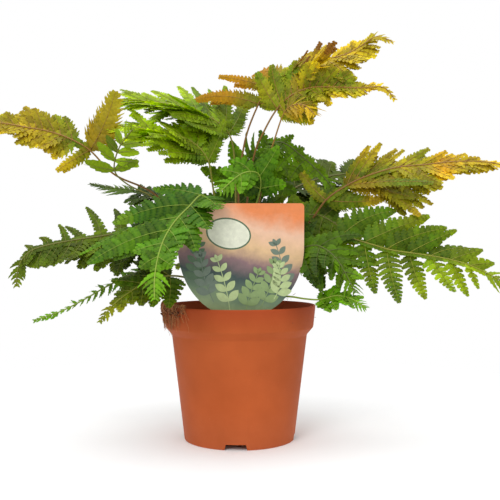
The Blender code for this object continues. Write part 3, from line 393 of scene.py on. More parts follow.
# Each frond: crown is where its stalk leaves the soil, course its way from there, and bare how many of
# those points are stalk. pairs counts its pinnae, reach is the longest pinna on the left and on the right,
# and wide its half width over its length on either side. cut is the share of that width left between
# leaflets, and taper how fast the pinnae shorten to the tip. angles are a pinna's angle to the rachis at the
# foot and at the tip of the blade, and turned what either side adds to them. face lists the directions that
# the blade turns up from its foot to its tip, lift is the rise of the left and the right pinnae out of the
# blade's plane, and droop how strongly they sag. special gives the length, angle, lift, droop and half width
# of single pinnae, by pair and by side (-1 left, 1 right). A row leaves out what is usual.
USUAL_FROND = dict(taper=0.85, turned=(0, 0), lift=(0, 0), droop=0.3, special={})
FRONDS = (
    dict(name="frond_top_gold", colour="gold", crown=(4, 2), bare=5,
         pairs=8, reach=(28, 48), wide=(0.34, 0.26), cut=0.5,
         course=((0, 2, 139), (-1, 1, 176), (0, 0, 205), (5, -2, 237), (15, -4, 263), (26, -6, 282),
                 (45, -8, 291), (64, -10, 296), (82, -12, 300), (94, -14, 306), (106, -16, 313),
                 (119, -18, 308)),
         angles=(64, 44), face=((0.0, -0.8, 0.6), (-0.2, -0.6, 0.75), (-0.2, -0.6, 0.8)),
         special={(0, -1): (68, 84, 0, 1.2, 0.06), (1, -1): (44, 100, 0, 0.8, 0.05),
                  (2, -1): (34, 122, 0, 0.5, 0.22)}),
    dict(name="frond_left_gold", colour="gold", crown=(-13, 0), bare=6,
         pairs=7, reach=(19, 21), wide=(0.34, 0.42), cut=0.5,
         course=((-17, -4, 130), (-28, -12, 154), (-44, -20, 173), (-68, -26, 193), (-94, -30, 205),
                 (-112, -33, 223), (-128, -36, 232), (-144, -38, 237), (-157, -40, 239), (-177, -42, 242),
                 (-197, -44, 240), (-214, -45, 234)),
         angles=(72, 40), face=((0.0, -0.9, 0.4), (0.0, -0.7, 0.7)), droop=0.25,
         special={(0, 1): (46, 88, 0, 0.0, 0.28), (0, -1): (30, 66, 0, 0.5, 0.08)}),
    dict(name="frond_right_gold", colour="gold", crown=(14, -2), bare=5,
         pairs=8, reach=(50, 58), wide=(0.3, 0.28), cut=0.5, taper=1.35,
         course=((15, -8, 131), (33, -14, 150), (47, -19, 162), (56, -22, 172), (66, -26, 186),
                 (80, -29, 196), (97, -31, 204), (118, -33, 210), (140, -35, 212), (162, -37, 214),
                 (187, -39, 213), (213, -41, 206)),
         angles=(56, 30), turned=(-18, 0),
         face=((0.0, -0.75, 0.65), (-0.15, -0.6, 0.8), (-0.15, -0.5, 0.85), (-0.1, -0.5, 0.85)),
         lift=(0, -14), droop=0.25,
         special={(0, -1): (56, 104, 0, 0.0, 0.04), (1, 1): (66, 34, 0, 0.1, 0.06)}),
    dict(name="frond_right_green", colour="green", crown=(13, -8), bare=4,
         pairs=7, reach=(52, 48), wide=(0.4, 0.15), cut=0.3,
         course=((18, -20, 128), (35, -30, 144), (54, -38, 156), (75, -45, 158), (94, -50, 153),
                 (111, -54, 148), (131, -58, 145), (148, -61, 142), (165, -64, 137), (185, -67, 127),
                 (196, -69, 120)),
         angles=(88, 48), turned=(-36, -14), face=((0.1, -0.55, 0.83), (0.1, -0.55, 0.83)), lift=(20, -30)),
    dict(name="frond_left_olive", colour="olive", crown=(-15, -7), bare=4,
         pairs=8, reach=(34, 38), wide=(0.28, 0.13), cut=0.5, taper=0.9,
         course=((-18, -14, 131), (-28, -24, 150), (-42, -32, 162), (-58, -40, 165), (-80, -46, 162),
                 (-101, -51, 158), (-120, -56, 155), (-139, -60, 151), (-150, -63, 146), (-156, -65, 136),
                 (-157, -67, 122)),
         angles=(72, 46), turned=(0, 26), face=((0.0, -0.7, 0.7), (-0.2, -0.7, 0.7)), lift=(-10, 5),
         droop=0.2),
    dict(name="frond_front_bright", colour="bright", crown=(-7, -15), bare=4,
         pairs=6, reach=(29, 36), wide=(0.3, 0.3), cut=0.35,
         course=((-8, -24, 139), (-15, -33, 165), (-21, -41, 182), (-27, -51, 188), (-35, -64, 179),
                 (-44, -76, 168), (-50, -88, 156), (-53, -100, 143), (-54, -110, 129), (-53, -118, 116)),
         angles=(80, 50), face=((-0.1, -0.7, 0.75), (0.0, -1.0, 0.3)),
         special={(1, 1): (62, 62, 0, 0.3, 0.15), (2, 1): (76, 59, 0, 0.2, 0.12),
                  (3, 1): (60, 62, 0, 0.2, 0.14)}),
    dict(name="frond_left_arching", colour="green", crown=(-4, 1), bare=4,
         pairs=6, reach=(58, 58), wide=(0.26, 0.26), cut=0.45,
         course=((-1, 6, 138), (-3, 12, 176), (-4, 16, 217), (-9, 17, 243), (-28, 15, 258), (-48, 12, 264),
                 (-68, 8, 267), (-87, 3, 267), (-104, -3, 260)),
         angles=(66, 38), face=((0.0, -0.42, 0.9), (-0.1, -0.42, 0.9)), droop=0.1),
    dict(name="frond_left_middle", colour="green", crown=(-8, -3), bare=4,
         pairs=5, reach=(58, 52), wide=(0.28, 0.28), cut=0.45,
         course=((-9, -6, 139), (-17, -10, 175), (-21, -12, 200), (-24, -14, 217), (-33, -16, 229),
                 (-46, -18, 236), (-61, -20, 239), (-79, -22, 242), (-98, -24, 243)),
         angles=(66, 38), face=((0.0, -0.4, 0.92), (-0.1, -0.4, 0.92)), droop=0.15),
    dict(name="frond_top_lower", colour="gold", crown=(3, -5), bare=5,
         pairs=6, reach=(36, 30), wide=(0.34, 0.34), cut=0.45, taper=1.7,
         course=((3, -8, 139), (5, -12, 175), (11, -17, 219), (19, -20, 239), (29, -22, 256),
                 (40, -25, 266), (54, -28, 271), (72, -30, 271), (91, -32, 270), (108, -34, 270),
                 (117, -36, 260)),
         angles=(72, 45), face=((0.0, -0.9, 0.45), (0.0, -0.7, 0.7))),
    dict(name="frond_top_small", colour="gold", crown=(8, -6), bare=5,
         pairs=3, reach=(18, 18), wide=(0.14, 0.14), cut=0.9,
         course=((10, -14, 139), (15, -22, 183), (21, -28, 212), (27, -32, 232), (34, -36, 251),
                 (42, -40, 256), (50, -43, 254), (56, -46, 247)),
         angles=(65, 40), face=((0.0, -0.8, 0.6), (0.3, -0.8, 0.6))),
    dict(name="frond_left_young", colour="olive", crown=(-9, -9), bare=6,
         pairs=4, reach=(20, 18), wide=(0.12, 0.12), cut=0.9,
         course=((-10, -18, 134), (-22, -30, 158), (-39, -39, 172), (-65, -46, 188), (-81, -50, 196),
                 (-90, -53, 206), (-86, -56, 222), (-75, -58, 236)),
         angles=(80, 55), face=((0.0, -1.0, 0.2), (0.0, -1.0, 0.2)), droop=0.1),
    dict(name="frond_middle_light", colour="bright", crown=(1, -13), bare=3,
         pairs=4, reach=(22, 22), wide=(0.42, 0.42), cut=0.5,
         course=((4, -20, 139), (10, -29, 172), (16, -35, 194), (14, -40, 205), (2, -46, 204),
                 (-14, -52, 190)),
         angles=(75, 45), face=((0.0, -1.0, 0.3), (0.0, -0.8, 0.6)), droop=0.2),
    dict(name="frond_left_long_low", colour="bright", crown=(-19, -2), bare=3,
         pairs=7, reach=(14, 14), wide=(0.14, 0.14), cut=0.9, taper=1.8,
         course=((-23, -8, 121), (-42, -14, 134), (-61, -20, 138), (-78, -26, 131), (-97, -32, 122),
                 (-114, -37, 112), (-131, -41, 103), (-151, -45, 96)),
         angles=(70, 35), face=((0.0, -0.6, 0.8), (0.0, -0.6, 0.8))),
    dict(name="frond_left_short_low", colour="green", crown=(-14, -14), bare=3,
         pairs=5, reach=(30, 30), wide=(0.26, 0.26), cut=0.35, taper=1.6,
         course=((-21, -24, 116), (-35, -34, 126), (-51, -43, 129), (-66, -51, 125), (-78, -58, 118),
                 (-89, -64, 109), (-98, -69, 97)),
         angles=(70, 40), face=((0.0, -0.6, 0.8), (-0.3, -0.7, 0.6))),
    dict(name="frond_right_dark", colour="dark", crown=(10, -14), bare=3,
         pairs=7, reach=(38, 38), wide=(0.2, 0.2), cut=0.4,
         course=((17, -26, 122), (31, -36, 138), (46, -43, 149), (58, -52, 151), (69, -61, 143),
                 (76, -68, 131), (82, -73, 118)),
         angles=(75, 45), face=((0.3, -0.8, 0.5), (0.5, -0.8, 0.3)), droop=0.4),
    dict(name="frond_right_low", colour="bright", crown=(17, -18), bare=4,
         pairs=4, reach=(15, 15), wide=(0.3, 0.3), cut=0.35,
         course=((23, -32, 112), (36, -46, 114), (48, -58, 113), (58, -66, 113), (69, -71, 116),
                 (79, -75, 114), (89, -78, 108)),
         angles=(60, 40), face=((0.0, -0.5, 0.87), (0.0, -0.5, 0.87)), droop=0.2),
    dict(name="frond_middle_dark", colour="dark", crown=(3, 9), bare=2,
         pairs=4, reach=(44, 44), wide=(0.34, 0.34), cut=0.4,
         course=((4, 15, 138), (2, 22, 173), (-1, 24, 197), (3, 22, 215), (11, 18, 228), (22, 15, 236)),
         angles=(75, 45), face=((0.0, -1.0, 0.2), (0.0, -1.0, 0.2))),
    dict(name="frond_right_middle", colour="dark", crown=(9, 3), bare=3,
         pairs=7, reach=(10, 34), wide=(0.24, 0.22), cut=0.35,
         course=((11, 5, 138), (14, 8, 172), (17, 9, 205), (22, 7, 230), (34, 4, 234), (50, 0, 222),
                 (66, -4, 206), (78, -7, 190)),
         angles=(80, 50), turned=(0, 34), face=((0.0, -1.0, 0.3), (0.0, -1.0, 0.4)), droop=0.4),
    dict(name="frond_right_inner", colour="olive", crown=(20, -3), bare=3,
         pairs=4, reach=(28, 32), wide=(0.24, 0.24), cut=0.4,
         course=((21, -6, 131), (32, -12, 158), (45, -16, 172), (60, -20, 175), (76, -24, 166),
                 (88, -28, 152)),
         angles=(80, 48), turned=(0, 14), face=((0.2, -0.9, 0.5), (0.2, -0.8, 0.6)), droop=0.4),
    dict(name="frond_back_left_dark", colour="dark", crown=(-13, 7), bare=2,
         pairs=3, reach=(30, 30), wide=(0.3, 0.3), cut=0.4,
         course=((-14, 16, 138), (-28, 26, 166), (-45, 36, 184), (-68, 44, 193), (-90, 50, 199),
                 (-112, 55, 202), (-131, 58, 206)),
         angles=(75, 40), face=((0.0, -0.4, 0.9), (0.0, -0.4, 0.9))),
    dict(name="frond_back_right", colour="olive", crown=(10, 8), bare=3,
         pairs=4, reach=(42, 42), wide=(0.32, 0.32), cut=0.45,
         course=((8, 22, 138), (18, 40, 169), (41, 62, 198), (73, 85, 213), (110, 100, 220),
                 (150, 103, 226), (178, 103, 228)),
         angles=(70, 40), face=((0.0, -0.9, 0.5), (0.0, -0.2, 1.0))),
    dict(name="frond_back_low_right", colour="dark", crown=(13, 11), bare=2,
         pairs=3, reach=(36, 36), wide=(0.34, 0.34), cut=0.45,
         course=((23, 24, 130), (41, 42, 147), (65, 58, 153), (93, 70, 149), (119, 80, 137)),
         angles=(75, 45), face=((0.0, -0.9, 0.5), (0.0, -0.1, 1.0))),
    dict(name="frond_back_middle", colour="green", crown=(2, 14), bare=2,
         pairs=3, reach=(42, 42), wide=(0.34, 0.34), cut=0.45,
         course=((1, 30, 130), (1, 52, 157), (1, 78, 172), (3, 98, 172), (4, 114, 163)),
         angles=(75, 45), face=((0.0, -0.9, 0.5), (0.0, 0.0, 1.0))),
    dict(name="frond_back_far_left", colour="green", crown=(-8, 13), bare=2,
         pairs=4, reach=(42, 42), wide=(0.32, 0.32), cut=0.45,
         course=((-8, 24, 132), (-21, 50, 153), (-45, 74, 166), (-77, 92, 168), (-110, 101, 163),
                 (-139, 104, 156)),
         angles=(70, 40), face=((0.0, -0.9, 0.5), (0.0, -0.2, 1.0))),
)


def paint(red, green, blue):
    """A colour in linear light from one as it looks, 0 to 255."""
    return Vector([((c / 255 + 0.055) / 1.055) ** 2.4 for c in (red, green, blue)])


# Leaf colours at a frond's foot and tip, where it has turned, and on its ribs and stalk, and how far it has
# turned
PALETTES = {
    "gold": dict(foot=paint(88, 124, 8), tip=paint(202, 180, 30), warm=paint(208, 144, 20),
                 rib=paint(152, 112, 36), stalk=paint(84, 32, 16), warmth=-0.25),
    "olive": dict(foot=paint(44, 76, 2), tip=paint(104, 130, 6), warm=paint(146, 132, 10),
                  rib=paint(106, 108, 28), stalk=paint(86, 54, 24), warmth=-0.25),
    "green": dict(foot=paint(62, 104, 2), tip=paint(142, 168, 8), warm=paint(184, 170, 14),
                  rib=paint(136, 140, 30), stalk=paint(104, 84, 30), warmth=-0.2),
    "bright": dict(foot=paint(36, 92, 2), tip=paint(98, 158, 8), warm=paint(140, 164, 14),
                   rib=paint(130, 156, 40), stalk=paint(106, 108, 36), warmth=-0.25),
    "dark": dict(foot=paint(30, 64, 1), tip=paint(86, 124, 4), warm=paint(136, 146, 10),
                 rib=paint(84, 98, 22), stalk=paint(58, 44, 20), warmth=-0.2),
}
# How much lighter than its kind a frond is, partly its own colour and partly painted light and shade that
# makes up for how the light falls on it, and how much further turned from its foot's colour to its tip's
SHADES_AND_PAINTED_LIGHT = {
    "frond_top_gold": (1.45, 0.0),
    "frond_top_lower": (1.55, 0.0),
    "frond_top_small": (1.3, 0.0),
    "frond_left_gold": (1.25, 0.0),
    "frond_right_gold": (1.3, 0.0),
    "frond_right_green": (1.25, -0.15),
    "frond_left_olive": (1.1, 0.0),
    "frond_left_arching": (1.7, 0.15),
    "frond_left_middle": (1.9, 0.35),
    "frond_left_young": (1.8, 0.4),
    "frond_middle_light": (1.05, 0.3),
    "frond_middle_dark": (1.8, 0.1),
    "frond_right_middle": (1.45, 0.2),
    "frond_right_low": (1.0, 0.7),
    "frond_right_dark": (1.5, 0.1),
    "frond_right_inner": (1.6, 0.0),
    "frond_left_short_low": (0.9, -0.7),
    "frond_left_long_low": (0.9, 0.2),
    "frond_back_left_dark": (0.7, -0.3),
}
PATCH_SIZE = 26.0
PATCH_MIX = 0.9
PATCH_SHIFT = 7.0
WARM_SHIFT = Vector((11.3, 4.1, 7.7))
OUTWARD_TURN = 0.25
WARM_MIX = 0.9
TONE_SPREAD = 0.34
STRIP_FADE = 2.0
# The colour of the palette that a frond's specially placed side branches turn to, and how far
STRIP_COLOURS = {"frond_top_gold": ("warm", 0.75), "frond_left_gold": ("tip", 0.6)}
PINNA_TONE_SPREAD = 0.28
VEIN_SHARE = 0.45
VEIN_FADE = 0.5
VEIN_RIB = 0.7
VEIN_TONE = 1.1
NOTCH_TONE = 0.8
EDGE_WARMTH = 0.3
SCALE_COLOUR = paint(104, 62, 34)
DRIED_COLOUR = paint(140, 94, 30)
PEAT_COLOUR = paint(58, 42, 32)
FIBRE_COLOUR = paint(132, 100, 66)
MOSS_COLOUR = paint(86, 118, 34)
ROOT_COLOUR = paint(166, 96, 48)
ROOT_PALE = paint(206, 156, 104)
ROOT_PEAT = paint(130, 80, 46)
WHITE = Vector((1.0, 1.0, 1.0))
LEAF_GLOW = 0.36
LEAF_SHINE = 0.2
LEAF_THROUGH = (1.35, 1.3, 0.55)
STALK_ROUGHNESS = 0.5
POT_TONES = ((0.0, paint(172, 82, 38)), (0.5, paint(181, 87, 42)), (1.0, paint(190, 93, 46)))
BAND_TONE = (0.88, 0.7, 0.74)
POT_DUST = paint(208, 150, 118)
POT_SPECKS = 0.2
POT_DUSTY = 0.12
POT_DUSTY_TO = 30.0
POT_SHINE = 0.12
CARD_TONES = ((0.3, paint(226, 222, 212)), (0.7, paint(238, 235, 226)))

# The label's print
WASH_SLANT = 0.22
WASH_WANDER = 7.0
WASH_STOPS = (
    (0.0, paint(160, 178, 128)),
    (0.2, paint(104, 128, 100)),
    (0.36, paint(58, 76, 74)),
    (0.5, paint(136, 108, 110)),
    (0.64, paint(222, 186, 140)),
    (0.82, paint(236, 192, 162)),
    (1.0, paint(230, 136, 80)),
)
INK_TONES = ((0.3, 0.88), (0.7, 1.1))
INKS = {
    "ink_cream": paint(228, 230, 208),
    "ink_dark": paint(84, 110, 82),
    "ink_mid": paint(136, 160, 104),
    "ink_light": paint(182, 200, 142),
    "ink_grey": paint(112, 128, 112),
}


class Nodes:
    """A material with short calls that add and link its nodes."""

    def __init__(self, name):
        self.material = bpy.data.materials.new(name)
        self.material.use_nodes = True
        self.tree = self.material.node_tree
        self.shader = self.tree.nodes["Principled BSDF"]
        self.output = self.tree.nodes["Material Output"]
        self.place = self.node("ShaderNodeTexCoord").outputs["Object"]

    def feed(self, socket, value):
        """Links an input to another socket, or gives it a value of its own."""
        if isinstance(value, bpy.types.NodeSocket):
            self.tree.links.new(value, socket)
        else:
            socket.default_value = value

    def node(self, kind, inputs=None, **settings):
        """Adds a node with these inputs and settings."""
        node = self.tree.nodes.new(kind)
        for key, value in settings.items():
            setattr(node, key, value)
        for key, value in (inputs or {}).items():
            self.feed(node.inputs[key], value)
        return node

    def set(self, key, value):
        """Sets or links one of the shader's own inputs."""
        self.feed(self.shader.inputs[key], value)

    def tint(self):
        return self.node("ShaderNodeAttribute", attribute_name=TINT).outputs["Color"]

    def maths(self, kind, first, second):
        return self.node("ShaderNodeMath", {0: first, 1: second}, operation=kind).outputs[0]

    def noise(self, size, detail=3.0, rough=0.5):
        """Soft noise from 0 to 1, whose patches are about size millimetres."""
        values = {"Vector": self.place, "Scale": 1.0 / (size * METRES), "Detail": detail, "Roughness": rough}
        return self.node("ShaderNodeTexNoise", values).outputs[0]

    def spread(self, value, low, high, start=0.25, end=0.75):
        """The value from start to end spread out from low to high."""
        values = {"Value": value, "From Min": start, "From Max": end, "To Min": low, "To Max": high}
        return self.node("ShaderNodeMapRange", values).outputs[0]

    def patches(self, size, low, high, start=0.25, end=0.75, **kind):
        """Soft noise spread out from low to high."""
        return self.spread(self.noise(size, **kind), low, high, start, end)

    def ramp(self, value, stops):
        """A colour for each value, blended between the stops."""
        node = self.node("ShaderNodeValToRGB", {"Fac": value})
        elements = node.color_ramp.elements
        while len(elements) < len(stops):
            elements.new(1.0)
        for element, (position, colour) in zip(elements, stops):
            element.position = position
            element.color = (*colour, 1.0)
        return node.outputs["Color"]

    def blended(self, share, colour, other, kind="MIX"):
        """The colour with a share of one other colour blended in."""
        values = {0: share, 6: colour, 7: (*other, 1.0)}
        return self.node("ShaderNodeMix", values, data_type="RGBA", blend_type=kind).outputs[2]

    def toned(self, colour, value):
        """The colour, lighter or darker by a value round 1."""
        return self.node("ShaderNodeHueSaturation", {"Color": colour, "Value": value}).outputs["Color"]

    def bump(self, size, strength, distance, **kind):
        """A small relief by noise, distance in millimetres."""
        values = {"Height": self.noise(size, **kind), "Strength": strength, "Distance": distance * METRES}
        self.set("Normal", self.node("ShaderNodeBump", values).outputs["Normal"])

    def mix_in(self, share, other):
        """Mixes a share of another shader into the main one."""
        mixed = self.node("ShaderNodeMixShader", {0: share, 1: self.shader.outputs[0], 2: other}).outputs[0]
        self.tree.links.new(mixed, self.output.inputs["Surface"])


def leaf_finish():
    """A thin, slightly shiny leaf that lets some light through."""
    nodes = Nodes("leaf")
    colour = nodes.toned(nodes.tint(), nodes.patches(size=2.2, low=0.8, high=1.2))
    nodes.set("Base Color", colour)
    nodes.set("Roughness", nodes.patches(size=3.0, low=0.42, high=0.58))
    nodes.set("Specular IOR Level", LEAF_SHINE)
    nodes.bump(size=0.7, detail=2.0, strength=0.35, distance=0.12)
    through = nodes.blended(1.0, colour, LEAF_THROUGH, "MULTIPLY")
    glow = nodes.node("ShaderNodeBsdfTranslucent", {"Color": through}).outputs[0]
    nodes.mix_in(LEAF_GLOW, glow)
    return nodes.material


def stalk_finish():
    """The smooth skin of a stalk or rib, a little uneven."""
    nodes = Nodes("stalk")
    nodes.set("Base Color", nodes.toned(nodes.tint(), nodes.patches(size=1.4, low=0.8, high=1.2)))
    nodes.set("Roughness", STALK_ROUGHNESS)
    nodes.bump(size=0.5, detail=2.0, strength=0.3, distance=0.1)
    return nodes.material


def pot_finish():
    """Thin moulded terracotta plastic, a little uneven, specked, and dusty near its foot."""
    nodes = Nodes("moulded")
    cloud = nodes.patches(size=38.0, detail=4.0, rough=0.55, low=0.0, high=1.0)
    colour = nodes.ramp(cloud, POT_TONES)
    speck = nodes.patches(size=0.9, detail=2.0, low=0.0, high=1.0, start=0.7, end=0.78)
    colour = nodes.blended(nodes.maths("MULTIPLY", speck, POT_SPECKS), colour, POT_DUST)
    height = nodes.node("ShaderNodeSeparateXYZ", {0: nodes.place}).outputs["Z"]
    low = nodes.spread(height, low=POT_DUSTY, high=0.0, start=0.0, end=POT_DUSTY_TO * METRES)
    dust = nodes.maths("MULTIPLY", low, nodes.noise(size=9.0, detail=5.0, rough=0.7))
    colour = nodes.blended(dust, colour, POT_DUST)
    band = nodes.spread(height, low=0.0, high=1.0, start=BAND_BOTTOM * METRES, end=POT_HEIGHT * METRES)
    nodes.set("Base Color", nodes.blended(band, colour, BAND_TONE, "MULTIPLY"))
    nodes.set("Roughness", nodes.patches(size=12.0, detail=4.0, rough=0.6, low=0.5, high=0.62))
    nodes.set("Specular IOR Level", POT_SHINE)
    nodes.bump(size=1.1, rough=0.6, strength=0.12, distance=0.15)
    return nodes.material


def rough_finish(name, size, roughness):
    """A rough finish in the piece's own tints, mottled by patches of a size."""
    nodes = Nodes(name)
    mottle = nodes.patches(size, low=0.6, high=1.4, detail=4.0, rough=0.7)
    nodes.set("Base Color", nodes.toned(nodes.tint(), mottle))
    nodes.set("Roughness", roughness)
    nodes.bump(size / 2, detail=4.0, rough=0.7, strength=0.7, distance=0.5)
    return nodes.material


def peat_finish():
    return rough_finish("peat", size=1.8, roughness=0.95)


def moss_finish():
    return rough_finish("moss", size=1.2, roughness=0.85)


def root_finish():
    return rough_finish("root", size=1.5, roughness=0.85)


def card_finish():
    """The unprinted plastic card of the label's edge and back."""
    nodes = Nodes("card")
    nodes.set("Base Color", nodes.ramp(nodes.noise(size=14.0), CARD_TONES))
    nodes.set("Roughness", nodes.patches(size=5.0, low=0.38, high=0.5))
    nodes.bump(size=0.8, detail=2.0, strength=0.05, distance=0.1)
    return nodes.material


def wash_finish():
    """The label's printed ground: soft slanting bands, as if brushed on wet paper."""
    nodes = Nodes("wash")
    axes = nodes.node("ShaderNodeSeparateXYZ", {0: nodes.place}).outputs
    slant = nodes.maths("MULTIPLY", axes["X"], WASH_SLANT)
    swing = nodes.patches(size=26.0, detail=5.0, rough=0.6, low=-1.0, high=1.0)
    wander = nodes.maths("MULTIPLY", swing, WASH_WANDER * METRES)
    level = nodes.maths("ADD", nodes.maths("ADD", axes["Z"], slant), wander)
    share = nodes.spread(level, low=0.0, high=1.0, start=LABEL_BOTTOM * METRES, end=LABEL_TOP * METRES)
    grain = nodes.patches(size=7.0, detail=6.0, rough=0.65, low=0.9, high=1.1)
    nodes.set("Base Color", nodes.toned(nodes.ramp(share, WASH_STOPS), grain))
    nodes.set("Roughness", nodes.patches(size=9.0, low=0.32, high=0.4))
    nodes.bump(size=0.6, detail=2.0, strength=0.04, distance=0.05)
    return nodes.material


def ink_finish(name):
    """One printed colour, a little uneven."""
    nodes = Nodes(name)
    tones = [(place, INKS[name] * tone) for place, tone in INK_TONES]
    nodes.set("Base Color", nodes.ramp(nodes.noise(size=4.0, detail=5.0, rough=0.65), tones))
    nodes.set("Roughness", nodes.patches(size=6.0, low=0.32, high=0.42))
    return nodes.material


def floor_finish():
    """The studio's matt white floor, which fades out into the white round it."""
    nodes = Nodes("floor")
    nodes.set("Base Color", (*FLOOR_COLOUR, 1.0))
    nodes.set("Roughness", nodes.patches(size=20.0, low=0.85, high=0.95))
    nodes.set("Specular IOR Level", FLOOR_SHINE)
    away = nodes.node("ShaderNodeVectorMath", {0: nodes.place}, operation="LENGTH").outputs["Value"]
    clear = nodes.node("ShaderNodeBsdfTransparent").outputs[0]
    # Painted light: the clear part shows the white round it, which hides the edge and lightens the floor's
    # shadow away from the pot
    nodes.mix_in(nodes.spread(away, 0.0, 1.0, *FLOOR_FADE), clear)
    return nodes.material


FINISH_MAKERS = {
    "leaf": leaf_finish,
    "stalk": stalk_finish,
    "moulded": pot_finish,
    "peat": peat_finish,
    "moss": moss_finish,
    "root": root_finish,
    "card": card_finish,
    "wash": wash_finish,
    "floor": floor_finish,
}


def finish_of(name):
    """The material of a finish, made the first time that it is asked for."""
    material = bpy.data.materials.get(name)
    if material:
        return material
    return ink_finish(name) if name in INKS else FINISH_MAKERS[name]()


def turn(radius, angle, height):
    return Vector((radius * math.cos(angle), radius * math.sin(angle), height))


def around(count):
    """The angles of count places spread evenly round a full turn."""
    return [2 * math.pi * k / count for k in range(count)]


def ring_steps(count):
    """Each place round a ring with the one after it."""
    return [(k, (k + 1) % count) for k in range(count)]


def lathe(profile, sides, height_at=None):
    """A turned shape from a profile of (radius, height) that starts and ends on the axis."""
    points = []
    rings = []
    for radius, height in profile:
        angles = around(sides) if radius else (0.0,)
        rings.append([len(points) + k for k in range(len(angles))])
        for angle in angles:
            rise = height_at(radius, angle, height) if height_at else 0.0
            points.append(turn(radius, angle, height + rise))
    faces = []
    for low, high in zip(rings, rings[1:]):
        for k, after in ring_steps(sides):
            if len(low) == 1:
                faces.append((low[0], high[after], high[k]))
            elif len(high) == 1:
                faces.append((low[k], low[after], high[0]))
            else:
                faces.append((low[k], low[after], high[after], high[k]))
    return points, faces


def prism(outline, depth):
    """A closed shape between an outline and the same outline moved by depth."""
    count = len(outline)
    points = [Vector(p) for p in outline] + [Vector(p) + depth for p in outline]
    faces = [tuple(range(count))[::-1], tuple(range(count, 2 * count))]
    faces += [(k, after, count + after, count + k) for k, after in ring_steps(count)]
    return points, faces


def joined(shapes):
    """Several point and face lists as one."""
    points, faces = [], []
    for more_points, more_faces in shapes:
        start = len(points)
        points.extend(more_points)
        faces.extend(tuple(start + k for k in face) for face in more_faces)
    return points, faces


def wall_radius(height):
    """The radius of the pot's outer wall at a height."""
    for (r0, z0), (r1, z1) in (
        ((FOOT_RADIUS, 0.0), (BODY_RADIUS, BODY_TOP)),
        ((BODY_RADIUS, BODY_TOP), (BAND_RADIUS, BAND_BOTTOM)),
        ((BAND_RADIUS, BAND_BOTTOM), (LIP_RADIUS, POT_HEIGHT)),
    ):
        if height <= z1:
            return r0 + (r1 - r0) * (height - z0) / (z1 - z0)
    return LIP_RADIUS


def soil_lumps(radius, angle, height):
    """The rise of the peat's surface: lumps, none at the wall."""
    if height < SOIL_LUMPS_FROM:
        return 0.0
    share = min(radius / BAND_RADIUS, 1.0)
    lumps = sum(size * math.sin(count * angle + winding * radius) for size, count, winding in SOIL_WAVES)
    return SOIL_LUMP * lumps * share * (1.0 - share)


def soil_level(radius):
    return SOIL_TOP - SOIL_FALL * (radius / BAND_RADIUS) ** 2


def label_point(x, height):
    """A point of the label's middle plane, x from its centre line."""
    y = LABEL_PLANE - (height - LABEL_PLANE_HEIGHT) * LABEL_LEAN
    return Vector((LABEL_CENTRE + x, y, height))


def label_outline(steps=LABEL_CURVE_STEPS, corner=((LABEL_HALF_WIDTH, LABEL_TOP),)):
    """The label's outline: its top corners, a round foot in some steps, and a pointed stake."""
    drop = LABEL_STRAIGHT_END - LABEL_BOTTOM
    last = math.acos(STAKE_HALF_WIDTH / LABEL_HALF_WIDTH)
    right = list(corner)
    for k in range(steps + 1):
        angle = last * k / steps
        right.append((LABEL_HALF_WIDTH * math.cos(angle), LABEL_STRAIGHT_END - drop * math.sin(angle)))
    right.append((STAKE_HALF_WIDTH, STAKE_SHOULDER))
    left = [(-x, z) for x, z in reversed(right)]
    return right + [(0.0, STAKE_TIP)] + left


class Sheet:
    """A thin surface of triangles with a normal and half a thickness at each point."""

    def __init__(self):
        self.points = []
        self.normals = []
        self.halves = []
        self.faces = []

    def add(self, point, normal, half):
        self.points.append(point)
        self.normals.append(normal)
        self.halves.append(half)
        return len(self.points) - 1

    def take(self, other, shared):
        """Adds another sheet, whose first points are this sheet's points listed in shared."""
        index = list(shared)
        for k in range(len(shared), len(other.points)):
            index.append(self.add(other.points[k], other.normals[k], other.halves[k]))
        self.faces.extend(tuple(index[k] for k in face) for face in other.faces)

    def solid_after(self, count, more):
        """The closed shape without the first count triangles of the surface."""
        rest = Sheet()
        rest.take(self, ())
        rest.faces = self.faces[count:]
        return rest.solid(more)

    def solid(self, more=0.0):
        """The closed shape: both faces, split into triangles alike, and the walls along the outline."""
        count = len(self.points)
        offsets = [n * (h + more) for n, h in zip(self.normals, self.halves)]
        points = [p + o for p, o in zip(self.points, offsets)]
        points += [p - o for p, o in zip(self.points, offsets)]
        faces = list(self.faces)
        faces += [(c + count, b + count, a + count) for a, b, c in self.faces]
        edges = {(a, b) for face in self.faces for a, b in zip(face, face[1:] + face[:1])}
        for a, b in sorted(edges):
            if (b, a) not in edges:
                faces.append((b, a, a + count))
                faces.append((b, a + count, b + count))
        return points, faces


class Blocker:
    """A shape that pinnae keep clear of."""

    def __init__(self, points, faces):
        self.tree = BVHTree.FromPolygons(points, faces)
        self.low = [min(p[k] for p in points) for k in range(3)]
        self.high = [max(p[k] for p in points) for k in range(3)]

    def meets(self, other):
        for k in range(3):
            if self.low[k] > other.high[k] or other.low[k] > self.high[k]:
                return False
        return bool(self.tree.overlap(other.tree))


